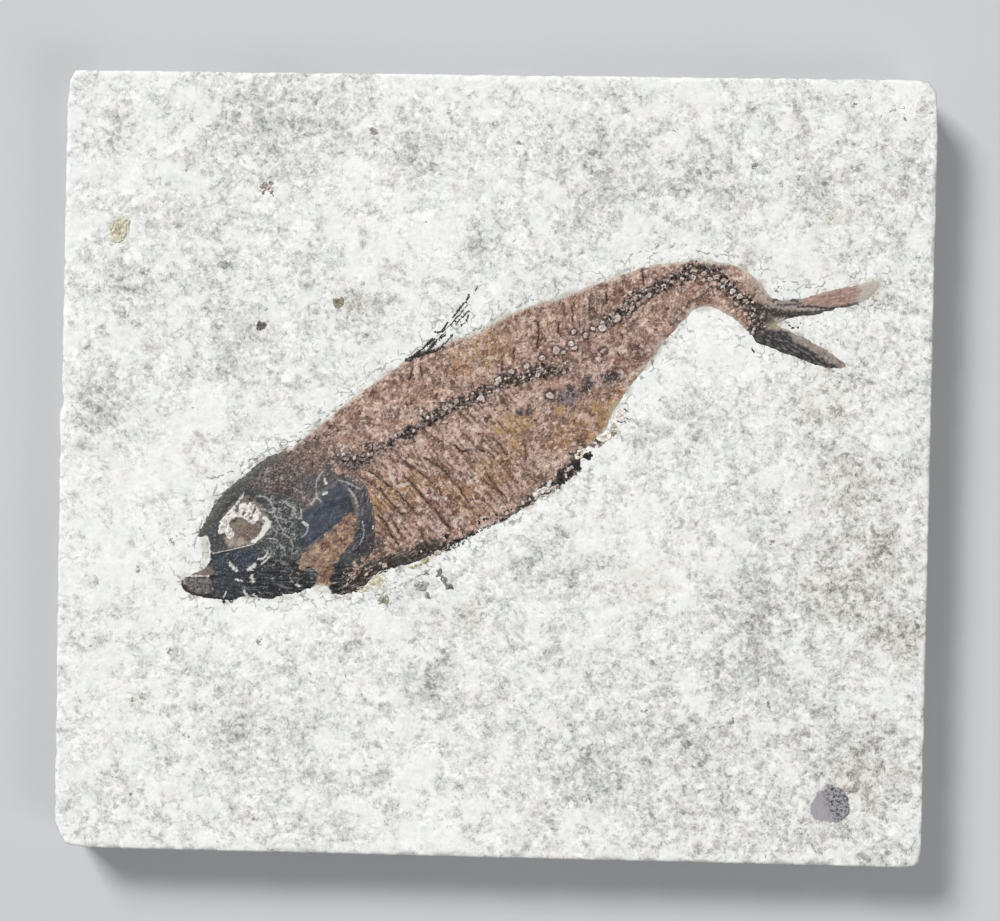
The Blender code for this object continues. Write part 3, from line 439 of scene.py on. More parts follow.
def lumps(spots, size, seed, wobble=0.35):
    """Lumps packed side by side: the gap from each spot to its lump's border (nought on the
    border, near 1 in the middle) and a number from 0 to 1 that is the same all over a lump."""
    warp = [uneven(spots, size, seed + k, 2) for k in (1, 2)]
    at = spots / size + wobble * np.column_stack(warp)
    base = np.floor(at).astype(int)
    dice = np.random.default_rng(seed).uniform(0, 1, (64, 64, 3))
    first, second = np.full(len(spots), 9.0), np.full(len(spots), 9.0)
    lot = np.zeros(len(spots))
    for shift in np.ndindex(3, 3):
        cell = base + shift - 1
        seedling = dice[cell[:, 0] % 64, cell[:, 1] % 64]
        reach = np.hypot(*(cell + seedling[:, :2] - at).T)
        closer = reach < first
        second = np.where(closer, first, np.minimum(second, reach))
        lot = np.where(closer, seedling[:, 2], lot)
        first = np.minimum(first, reach)
    return np.clip(second - first, 0, 1), lot


def rise(value, low, high):
    """A smooth step from 0 at low to 1 at high."""
    t = np.clip((value - low) / (high - low), 0, 1)
    return t * t * (3 - 2 * t)


def ridge(spots, path, width):
    """A rounded ridge along a path, 1 high."""
    return np.exp(-(along_path(spots, smooth(path, 1.0))[0] / width) ** 2)


# ---------------------------------------------------------------- outlines from the frame

def corners_of(node):
    """The CAD node's corners, in millimetres, one row of three for each triangle."""
    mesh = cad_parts[node].data
    places = np.array([v.co for v in mesh.vertices]) / MM
    mesh.calc_loop_triangles()
    return places[np.array([t.vertices[:] for t in mesh.loop_triangles])].round(3)


def fish_outline():
    """The fish's outline, from the rim of its flat underside."""
    faces = corners_of("fossil_fish")
    flat = faces[(faces[:, :, 2] == faces[:, :, 2].min()).all(axis=1)][:, :, :2]
    links = {}
    for face in flat:
        for k in range(3):
            a, b = tuple(face[k]), tuple(face[(k + 1) % 3])
            if (b, a) in links:
                del links[b, a]
            else:
                links[a, b] = True
    follow = dict(links.keys())
    loop = [next(iter(follow))]
    while len(loop) < len(follow):
        loop.append(follow[loop[-1]])
    return np.array(loop)[::-1]


def slab_outline():
    """The slab's outline, from the ring of corners just above its back."""
    places = np.unique(corners_of("limestone_slab").reshape(-1, 3), axis=0)
    ring = places[(places[:, 2] > 0.1) & (places[:, 2] < 1.0), :2]
    return ring[np.argsort(np.arctan2(ring[:, 1] * HALF_LONG, ring[:, 0] * HALF_WIDE))]


FISH = fish_outline()
SLAB = slab_outline()
fish_depth = charted(FISH)


# ---------------------------------------------------------------- meshes

def make_piece(name, verts, faces):
    """A mesh object of this name, from places in millimetres and rows of face corners."""
    mesh = bpy.data.meshes.new(name)
    mesh.from_pydata((np.asarray(verts) * MM).tolist(), [], faces)
    mesh.validate()
    mesh.update()
    mesh.polygons.foreach_set("use_smooth", [True] * len(mesh.polygons))
    piece = bpy.data.objects.new(name, mesh)
    bpy.context.collection.objects.link(piece)
    return piece


def note(mesh, colours=None, **values):
    """Stores values, and sRGB colours as "paint", on a mesh's vertices, to be read by name."""
    for name, value in values.items():
        layer = mesh.attributes.new(name, "FLOAT", "POINT")
        layer.data.foreach_set("value", np.asarray(value, np.float32))
    if colours is not None:
        rgba = np.ones((len(colours), 4))
        rgba[:, :3] = to_linear(colours)
        layer = mesh.attributes.new("paint", "FLOAT_COLOR", "POINT")
        layer.data.foreach_set("color", rgba.ravel().astype(np.float32))


def settle(piece, material, node):
    """Finishes a piece: its material, the body it rides on, what it stands for."""
    piece.data.materials.clear()
    piece.data.materials.append(material)
    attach(piece, "root")
    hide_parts(node)


def modelled_sheet(name, pitch, low, high, room, height, floor):
    """A closed body with a finely modelled top wherever room(spots) is above nought.

    Its rim is drawn onto the line where room is nought; its underside is one flat face."""
    xs, ys = np.arange(low[0], high[0], pitch), np.arange(low[1], high[1], pitch)
    gx, gy = np.meshgrid(xs, ys)
    spots = np.column_stack([gx.ravel(), gy.ravel()])
    solid = (room(spots) > 0).reshape(gx.shape)
    cell = solid[:-1, :-1] & solid[1:, :-1] & solid[:-1, 1:] & solid[1:, 1:]
    for _ in range(3):
        pinch = cell[:-1, :-1] & cell[1:, 1:] & ~cell[1:, :-1] & ~cell[:-1, 1:]
        cell[:-1, :-1] &= ~pinch
        pinch = cell[1:, :-1] & cell[:-1, 1:] & ~cell[:-1, :-1] & ~cell[1:, 1:]
        cell[1:, :-1] &= ~pinch
    used = np.zeros(gx.shape, bool)
    for dj, di in ((0, 0), (0, 1), (1, 0), (1, 1)):
        used[dj:dj + cell.shape[0], di:di + cell.shape[1]] |= cell
    number = np.full(gx.shape, -1)
    count = used.sum()
    number[used] = np.arange(count)
    j, i = np.nonzero(cell)
    a, b, c, d = number[j, i], number[j, i + 1], number[j + 1, i + 1], number[j + 1, i]
    top = np.column_stack([a, b, c, d])
    padded = np.pad(cell, 1)
    onward = {}
    for dj, di, p, q in ((-1, 0, a, b), (0, 1, b, c), (1, 0, c, d), (0, -1, d, a)):
        bare = ~padded[j + 1 + dj, i + 1 + di]
        onward.update(zip(p[bare].tolist(), q[bare].tolist()))
    flat = spots[used.ravel()]
    rim = np.array(list(onward))
    edge, nudge = flat[rim], pitch / 4
    slope = np.column_stack([(room(edge + shift) - room(edge - shift)) / (2 * nudge)
                             for shift in nudge * np.eye(2)])
    pull = room(edge) / np.maximum((slope**2).sum(axis=1), 0.3)
    flat[rim] -= np.clip(pull, -0.8 * pitch, 0.8 * pitch)[:, None] * slope
    below = dict(zip(onward, range(count, count + len(onward))))
    walls = [(p, below[p], below[q], q) for p, q in onward.items()]
    undersides = []
    while onward:
        start, spot = next(iter(onward.items()))
        loop = [start]
        while spot != start:
            loop.append(spot)
            spot = onward.pop(spot)
        onward.pop(start)
        undersides.append([below[k] for k in reversed(loop)])
    verts = np.vstack([np.column_stack([flat, height(flat)]),
                       np.column_stack([flat[rim], np.full(len(rim), floor)])])
    piece = make_piece(name, verts, top.tolist() + walls + undersides)
    return piece, verts[:, :2], top


# ---------------------------------------------------------------- relief

def in_fish(spots):
    """Depth inside the fish's skin film, which doesn't reach onto the back fin."""
    depth = fish_depth(spots)
    close = near(spots, FIN_AREA, 1.0)
    fin = depth_in(spots[close], np.array(FIN_AREA))
    depth[close] = np.minimum(depth[close], np.where(fin > -0.6, -fin, 9.0))
    return depth


def face_level(spots):
    """Height of the split face: low swellings and pits, scraped lower round the fish."""
    depth = in_fish(spots)
    high = FACE_LEVEL + 0.13 * uneven(spots, 11.0, 3, 3) + 0.05 * uneven(spots, 2.6, 5, 3)
    high -= SCRAPED_DEPTH * np.exp(-(np.minimum(depth, 0) / 4.0) ** 2)
    return high, depth


def slab_top(spots):
    """Height of the stone itself, which drops away beneath the fish."""
    high, depth = face_level(spots)
    grain = 0.035 * uneven(spots, 1.3, 8, 2) - 0.12 * rise(uneven(spots, 2.2, 12, 2), 0.45, 0.9)
    return high + grain * rise(-depth, -0.3, 0.6) - 0.5 * rise(depth, 0.2, 1.2)


def skin_top(spots):
    """Height of the fish's skin film over the bones beneath it."""
    high, depth = face_level(spots)
    spine = along_path(spots, smooth(SPINE, 1.0))[0]
    high = high + 0.16 * rise(depth + 0.30 * uneven(spots, 1.4, 24, 3), -0.5, 0.5) - 0.14
    high += 0.30 * (1 - np.exp(-np.maximum(depth, 0) / 2.5))
    high += 0.16 * np.exp(-(spine / 1.0) ** 2)
    scales, lot = lumps(spots, 1.15, 201)
    film = rise(depth, -0.2, 0.6)
    high += film * (0.09 * np.minimum(scales, 0.5) + 0.08 * (lot - 0.5) * rise(scales, 0.0, 0.25))
    high += 0.10 * film * uneven(spots, 1.0, 21, 3, 0.75) + 0.05 * uneven(spots, 3.0, 23, 2)
    return high


def head_top(spots):
    """Height of the head's bones."""
    high, depth = face_level(spots)
    high = high + 0.20 * rise(depth, -0.5, 0.6) - 0.15
    high += 0.38 * (1 - np.exp(-np.maximum(depth, 0) / 3.0))
    high -= 0.18 * patch(spots, EYE_HOLLOW, 0.1, 0.8, 0.4)
    high += 0.14 * patch(spots, EYE_HOOK, 0.3, 0.7, 0.25)
    high += 0.14 * patch(spots, EYE_CRESCENT, 0.1, 0.7, 0.25)
    plate = depth_in(spots, smooth(GILL_COVER, 0.5, True))
    high += 0.14 * rise(plate, -0.1, 0.5)
    high += 0.16 * rise(depth_in(spots, smooth(SHOULDER, 0.5, True)), -0.1, 0.6)
    crust = patch(spots, OCHRE_CRUST, 0.4, 0.9, 0.3)
    high += crust * (0.07 + 0.12 * uneven(spots, 1.3, 96, 4, 0.75)
                     + 0.10 * np.minimum(lumps(spots, 0.75, 221)[0], 0.4))
    high += 0.10 * ridge(spots, ORBIT_BAR, 0.35)
    high += 0.16 * patch(spots, UPPER_JAW, 0.1) + 0.16 * patch(spots, JAW_TIP, 0.1)
    high -= 0.25 * patch(spots, SNOUT_GAP, 0.2)
    low = rise(-spots[:, 1] - 0.08 * spots[:, 0], 14.8, 15.6)
    high += 0.06 * low * streaks(spots, -4, 3.0, 0.4, 94)
    rough = 1 - 0.75 * rise(plate, 0, 0.5)
    high += rough * (0.11 * uneven(spots, 0.7, 31, 3, 0.75) + 0.05 * uneven(spots, 2.4, 33, 2))
    return high


# ---------------------------------------------------------------- painting by area

def near(spots, points, reach):
    """Which spots lie within reach of the box round some points."""
    return ((spots > np.min(points, axis=0) - reach)
            & (spots < np.max(points, axis=0) + reach)).all(axis=1)


def patch(spots, loop, ragged=0.3, size=1.0, soft=0.15, seed=71):
    """1 within a loop, 0 outside it, with a ragged border."""
    loop = smooth(loop, 0.5, True)
    cover = np.zeros(len(spots))
    close = near(spots, loop, 1.5)
    depth = depth_in(spots[close], loop)
    cover[close] = rise(depth + ragged * uneven(spots[close], size, seed), -soft, soft)
    return cover


def blots(spots, table, ragged=0.5, size=0.9, soft=0.5, seed=73):
    """1 within ragged round spots given as (x, y, radius)."""
    cover = np.zeros(len(spots))
    warp = ragged * uneven(spots, size, seed)
    for x, y, radius in table:
        close = near(spots, [(x, y)], 2.5 * radius)
        reach = 1 - np.hypot(*(spots[close] - (x, y)).T) / radius
        cover[close] = np.maximum(cover[close], rise(reach + warp[close], -soft, soft))
    return cover


def stroke(spots, path, width, ragged=0.3, size=0.5, seed=75, soft=0.5):
    """1 along a path of about this half width, with ragged borders."""
    path = smooth(path, 0.5)
    cover = np.zeros(len(spots))
    close = near(spots, path, 3 * width + 0.2)
    gap = along_path(spots[close], path)[0] / width
    cover[close] = rise(1 - gap + ragged * uneven(spots[close], size, seed), -soft, soft)
    return cover


def threads(spots, size, width, seed):
    """1 along thin wandering lines."""
    return 1 - rise(np.abs(uneven(spots, size, seed, 2)), 0, width)


def streaks(spots, degrees, length, width, seed):
    """Unevenness drawn out along one direction, about -1 to 1."""
    c, s = math.cos(math.radians(degrees)), math.sin(math.radians(degrees))
    turned = np.column_stack([(spots[:, 0] * c + spots[:, 1] * s) * width / length,
                              spots[:, 1] * c - spots[:, 0] * s])
    return uneven(turned, width, seed, 2)


def hills(spots, table):
    """Sum of round hills, each 1 high and given as (x, y, radius)."""
    return sum(np.exp(-(((spots - (x, y)) / radius) ** 2).sum(axis=1)) for x, y, radius in table)


def lay(paint, hexa, cover):
    """Lays a colour over the painted ones wherever cover is 1."""
    paint += (srgb(hexa) - paint) * np.clip(cover, 0, 1)[:, None]


def fleck(paint, area, *rows):
    """Lays colours within an area, each given as (colour, strength, value, low, high) and
    strongest where its value is past high."""
    for hexa, share, value, low, high in rows:
        lay(paint, hexa, share * area * rise(value, low, high))


# ---------------------------------------------------------------- materials

def srgb(hexa):
    """The three parts of an sRGB hex colour, 0 to 1."""
    return np.array([int(hexa[k:k + 2], 16) / 255 for k in (0, 2, 4)])


def to_linear(parts):
    """Linear values of sRGB ones."""
    return np.where(parts <= 0.04045, parts / 12.92, ((parts + 0.055) / 1.055) ** 2.4)


def colour(hexa):
    """An sRGB hex colour as linear values."""
    return [*map(float, to_linear(srgb(hexa))), 1.0]


def add(tree, kind, feeds=None, **settings):
    """Adds a node with its settings; feeds gives each socket a value or what links to it.

    A kind without "Node" in it is a shader node's."""
    item = tree.nodes.new(kind if "Node" in kind else "ShaderNode" + kind)
    for name, value in settings.items():
        setattr(item, name, value)
    for key, value in (feeds or {}).items():
        socket = item.inputs[key]
        if isinstance(value, bpy.types.Node):
            tree.links.new(value.outputs[0], socket)
        elif isinstance(value, bpy.types.NodeSocket):
            tree.links.new(value, socket)
        else:
            socket.default_value = value
    return item


# Settings that come back often: a soft-edged step, and the two ways of mixing colours.
SOFT = {"interpolation_type": "SMOOTHSTEP"}
MIX = {"data_type": "RGBA"}
TINT = {"data_type": "RGBA", "blend_type": "MULTIPLY"}


def start_material(name, roughness, sheen=0.25):
    """A new material with its tree, its shader and the piece's own coordinates."""
    material = bpy.data.materials.new(name)
    material.use_nodes = True
    tree = material.node_tree
    shader = tree.nodes["Principled BSDF"]
    shader.inputs["Roughness"].default_value = roughness
    shader.inputs["Specular IOR Level"].default_value = sheen
    place = add(tree, "TexCoord").outputs["Object"]
    return material, tree, shader, place


def per_mm(size):
    """Noise scale that gives features of this size in millimetres."""
    return 1 / (size * MM)


def limestone():
    """Micritic limestone, split along its bedding: chalk-white crust over a grey speckle.

    Noises of many sizes are weighed into sums, the sums turned into soft-edged covers, and
    each cover tints what lies under it, so the face looks dusty, pitted and a little stained."""
    material, tree, shader, place = start_material("split_limestone", 0.9)
    grey, tan, gap, stain, side = (
        add(tree, "Attribute", attribute_name=name).outputs["Fac"]
        for name in ("grey", "tan", "gap", "stain", "side"))
    layers = add(tree, "VectorMath", {0: place, 1: (0.06, 0.06, 1.0)}, operation="MULTIPLY")
    fine, speckle, swell, crust, chalky, tint, warmth, specks, broken, grit, laminae = (
        add(tree, "TexNoise", {"Vector": where, "Scale": per_mm(size), "Detail": detail,
                               "Roughness": roughness, "Distortion": warp})
        for where, size, detail, roughness, warp in (
            (place, 0.5, 3, 0.9, 0.8), (place, 1.7, 4, 0.8, 0.6), (place, 4.0, 4, 0.7, 0.4),
            (place, 3.4, 6, 0.68, 0.5), (place, 0.8, 3, 0.7, 0), (place, 2.2, 3, 0.6, 0),
            (place, 3.0, 4, 0.7, 0), (place, 0.35, 2, 0.6, 0), (place, 1.6, 2, 0.6, 0),
            (place, 0.4, 3, 0.8, 0), (layers, 0.9, 5, 0.75, 0)))
    shaken, crooked = (
        add(tree, "VectorMath", {
            0: add(tree, "TexNoise", {"Vector": place, "Scale": per_mm(size)}).outputs["Color"],
            1: (shift * MM,) * 3, 2: place}, operation="MULTIPLY_ADD")
        for size, shift in ((0.7, 0.6), (1.2, 1.6)))
    grains = [add(tree, "TexVoronoi", {"Vector": shaken, "Scale": per_mm(size)})
              for size in (1.3, 0.5, 2.3)]
    coarse, small, crumb = (add(tree, "SeparateColor", {0: cells.outputs["Color"]})
                            for cells in grains)
    borders = add(tree, "TexVoronoi", {"Vector": crooked, "Scale": per_mm(2.0)},
                  feature="DISTANCE_TO_EDGE").outputs["Distance"]
    picked = add(tree, "MapRange", {0: crumb, 1: 0.86, 2: 1.0}, **SOFT)
    corner = add(tree, "VectorMath", {0: place, 1: (1, 0.4, 0)}, operation="DOT_PRODUCT")
    sums = []
    for total, parts in (
            (-0.029, ((fine, 0.46), (speckle, 0.47), (grey, -0.05), (coarse, 0.07), (small, 0.1))),
            (0.0, ((swell, 0.5), (crust, 0.5), (grey, -0.06))),
            (grains[2].outputs["Distance"], ((specks, 0.9), (picked, -0.24))),
            (stain, ((crust, 1.8),)),
            (corner.outputs["Value"], ((crust, 0.002),))):
        for part, share in parts:
            total = add(tree, "Math", {0: part, 1: share, 2: total}, operation="MULTIPLY_ADD")
        sums.append(total)
    shade, whole, far, stained, outward = sums
    (crusted, pinkish, greenish, sandy, dips, dark, cracked, parted, near_fish, at_fish, smeared,
     blot, gritty, polished, bedded) = (
        add(tree, "MapRange", {0: what, 1: low, 2: high}, **SOFT)
        for what, low, high in (
            (whole, 0.495, 0.56), (tint, 0.52, 0.66), (tint, 0.48, 0.34), (warmth, 0.35, 0.65),
            (shade, 0.5, 0.4), (far, 0.42, 0.28), (borders, 0.07, 0.01), (broken, 0.46, 0.58),
            (gap, 4.5, 0.5), (gap, 0.8, 0.0), (tint, 0.44, 0.58), (stained, 0.85, 1.0),
            (grit, 0.36, 0.62), (outward, 0.029, 0.0272), (laminae, 0.62, 0.4)))
    covers = []
    for cover, *factors in ((crusted, 0.7), (tan, sandy), (tan, dips),
                            (cracked, parted, near_fish, 0.9), (at_fish, smeared, 0.75),
                            (side, bedded)):
        for factor in factors:
            cover = add(tree, "Math", {0: cover, 1: factor}, operation="MULTIPLY")
        covers.append(cover)
    crusted, warm, warm_dips, cracks, smear, layered = covers
    tone = add(tree, "ValToRGB", {0: shade})
    ramp = tone.color_ramp
    ramp.elements[0].position, ramp.elements[0].color = 0.34, colour("8F8F8C")
    ramp.elements[1].position, ramp.elements[1].color = 0.63, colour("FDFDFB")
    for position, hexa in ((0.41, "B9B9B6"), (0.48, "D7D7D4"), (0.55, "EDEDEA")):
        ramp.elements.new(position).color = colour(hexa)
    white, slate, rubbed = (
        add(tree, "Mix", {0: cover, 6: colour(dull), 7: colour(bright)}, **MIX).outputs[2]
        for cover, dull, bright in ((chalky, "EAEBE9", "FDFDFC"), (gritty, "3A3A40", "ACAAAD"),
                                    (fine, "8E8B91", "B4B1B6")))
    slate = add(tree, "Mix", {0: polished, 6: slate, 7: rubbed}, **MIX).outputs[2]
    look = add(tree, "Mix", {0: crusted, 6: tone, 7: white}, **MIX).outputs[2]
    for cover, hexa in ((pinkish, "FBF9F8"), (greenish, "F6F9F7"), (warm, "EFECE6"),
                        (warm_dips, "E6E1D8"), (dark, "A39E98"), (cracks, "ACAFAC"),
                        (smear, "D3D1C7")):
        look = add(tree, "Mix", {0: cover, 6: look, 7: colour(hexa)}, **TINT).outputs[2]
    look = add(tree, "Mix", {0: blot, 6: look, 7: slate}, **MIX).outputs[2]
    look = add(tree, "Mix", {0: layered, 6: look, 7: colour("C9C5BA")}, **TINT).outputs[2]
    tree.links.new(look, shader.inputs["Base Color"])
    bump = add(tree, "Bump", {"Strength": 0.6, "Distance": 0.0002, "Height": shade})
    tree.links.new(bump.outputs[0], shader.inputs["Normal"])
    return material


def mottled(name, size, crevice_tone_and_shade, crest_tone_and_highlight, roughness, relief):
    """A painted film whose colour breaks into darker crevices and paler crests where its bump is
    low and high: partly the film's own tone, partly painted shade and painted highlight.
    """
    material, tree, shader, place = start_material(name, roughness)
    look = add(tree, "Attribute", attribute_name="paint").outputs["Color"]
    grain = add(tree, "Attribute", attribute_name="grain").outputs["Fac"]
    fine, grit = (
        add(tree, "TexNoise", {"Vector": place, "Scale": per_mm(width), "Detail": detail,
                               "Roughness": rough, "Distortion": warp})
        for width, detail, rough, warp in ((size, 3, 0.8, 0.5), (0.26, 1, 0.5, 0)))
    mix = add(tree, "Math", {0: fine, 1: 0.45}, operation="MULTIPLY")
    mix = add(tree, "Math", {0: grit, 1: 0.55, 2: mix}, operation="MULTIPLY_ADD")
    for hexa, start, full in ((crevice_tone_and_shade, 0.49, 0.33), (crest_tone_and_highlight, 0.51, 0.68)):
        cover = add(tree, "MapRange", {0: mix, 1: start, 2: full, 4: 0.5}, **SOFT)
        cover = add(tree, "Math", {0: grain, 1: cover}, operation="MULTIPLY")
        look = add(tree, "Mix", {0: cover, 6: look, 7: colour(hexa)}, **MIX).outputs[2]
    tree.links.new(look, shader.inputs["Base Color"])
    bump = add(tree, "Bump", {"Strength": 0.8, "Distance": relief * MM, "Height": mix})
    tree.links.new(bump.outputs[0], shader.inputs["Normal"])
    return material


# ---------------------------------------------------------------- stone

def slab_sides(points):
    """The outline split at its four corners: lower, right, upper and left side."""
    corners = [(across * HALF_LONG, up * HALF_WIDE)
               for across, up in ((-1, -1), (1, -1), (1, 1), (-1, 1))]
    marks = [int(np.argmin(np.hypot(*(points - corner).T))) for corner in corners]
    sides = []
    for start, end in zip(marks, marks[1:] + marks[:1]):
        steps = (end - start) % len(points)
        sides.append(points[(start + np.arange(steps + 1)) % len(points)])
    return sides


def stations(length, pitch):
    """Fractions of a length at which the mesh has its lines, close together near the ends."""
    rim = np.array([0.0, 0.13, 0.3, 0.5, 0.78])
    middle = np.linspace(1.15, length - 1.15, int((length - 2.3) / pitch))
    return np.concatenate([rim, middle, length - rim[::-1]]) / length


def at_fractions(path, fractions):
    """Places at these fractions of a path's length."""
    run = np.insert(np.cumsum(np.hypot(*np.diff(path, axis=0).T)), 0, 0)
    return np.column_stack([np.interp(fractions * run[-1], run, path[:, k]) for k in (0, 1)])


def stone_slab():
    """The slab: modelled face, chipped arrises, sawn sides with their laminae, flat back."""
    lower, right, upper, left = slab_sides(SLAB)
    us, vs = (stations(2 * half, SLAB_PITCH) for half in (HALF_LONG, HALF_WIDE))
    south, north = at_fractions(lower, us), at_fractions(upper[::-1], us)
    west, east = at_fractions(left[::-1], vs), at_fractions(right, vs)
    u, v = us[None, :, None], vs[:, None, None]
    spots = ((1 - v) * south[None] + v * north[None] + (1 - u) * west[:, None] + u * east[:, None]
             - (1 - u) * (1 - v) * south[0] - u * (1 - v) * south[-1]
             - (1 - u) * v * north[0] - u * v * north[-1])
    rows, columns = len(vs), len(us)
    flat = spots.reshape(-1, 2)
    edge = np.abs(depth_in(flat, SLAB))
    chip = np.abs(uneven(flat, 3.5, 41, 3, 0.6))
    width = 0.35 + 1.1 * chip
    high = slab_top(flat) - (0.25 + 1.0 * chip) * np.clip(1 - edge / width, 0, 1) ** 2
    number = np.arange(rows * columns).reshape(rows, columns)
    ring = np.concatenate([number[0, :-1], number[:-1, -1], number[-1, :0:-1], number[:0:-1, 0]])
    rim = flat[ring].copy()
    flat[ring] = rim * (1 - 0.0035 * (1 + 2 * chip[ring]))[:, None]
    verts = [np.column_stack([flat, high])]
    faces = [np.column_stack([number[:-1, :-1].ravel(), number[:-1, 1:].ravel(),
                              number[1:, 1:].ravel(), number[1:, :-1].ravel()])]
    above, total = ring, rows * columns
    turn = np.arctan2(rim[:, 1], rim[:, 0]) * 60
    for level in np.concatenate([np.linspace(0.93, 0.04, 20), [0.0]]):
        laminae = lattice(turn * 0.25, np.full(len(ring), level * 16.0), 51)
        shrink = 1 - (0.004 if level == 0 else 0.0) - 0.0010 * (1 + laminae)
        row = np.arange(total, total + len(ring))
        verts.append(np.column_stack([rim * shrink[:, None], high[ring] * level]))
        ahead, beyond = np.roll(above, -1), np.roll(row, -1)
        faces.append(np.column_stack([above, row, beyond, ahead]))
        above, total = row, total + len(ring)
    verts = np.vstack(verts)
    piece = make_piece("slab_stone", verts, np.vstack(faces).tolist() + [above[::-1].tolist()])
    spots = verts[:, :2]
    on_side = np.arange(len(verts)) >= rows * columns
    on_side[ring] = True
    gap = -in_fish(spots)
    halo = np.exp(-(np.maximum(gap, 0) / 3.0) ** 2)
    edge = np.abs(depth_in(spots, SLAB))
    note(piece.data, grey=hills(spots, GREY_GROUND) - hills(spots, WHITE_GROUND) - 0.8 * halo
         - 0.7 * np.exp(-edge / 1.2) + 0.35 * rise(spots[:, 0] - 0.5 * spots[:, 1], 10, 60),
         tan=np.clip(hills(spots, TAN_GROUND) + 0.25 * rise(spots[:, 0], 0, 50), 0, 1),
         gap=gap, stain=(STAIN_RADIUS - np.hypot(*(spots - STAIN_AT).T)) * 0.5,
         side=on_side)
    settle(piece, limestone(), "limestone_slab")


# ---------------------------------------------------------------- fish

def in_head(spots):
    """Depth inside the head, which ends behind at the shoulder bone."""
    loop = np.vstack([smooth(HEAD_REAR, 0.5), [(-25, -24), (-46, -24), (-46, 4)]])
    return depth_in(spots, loop)


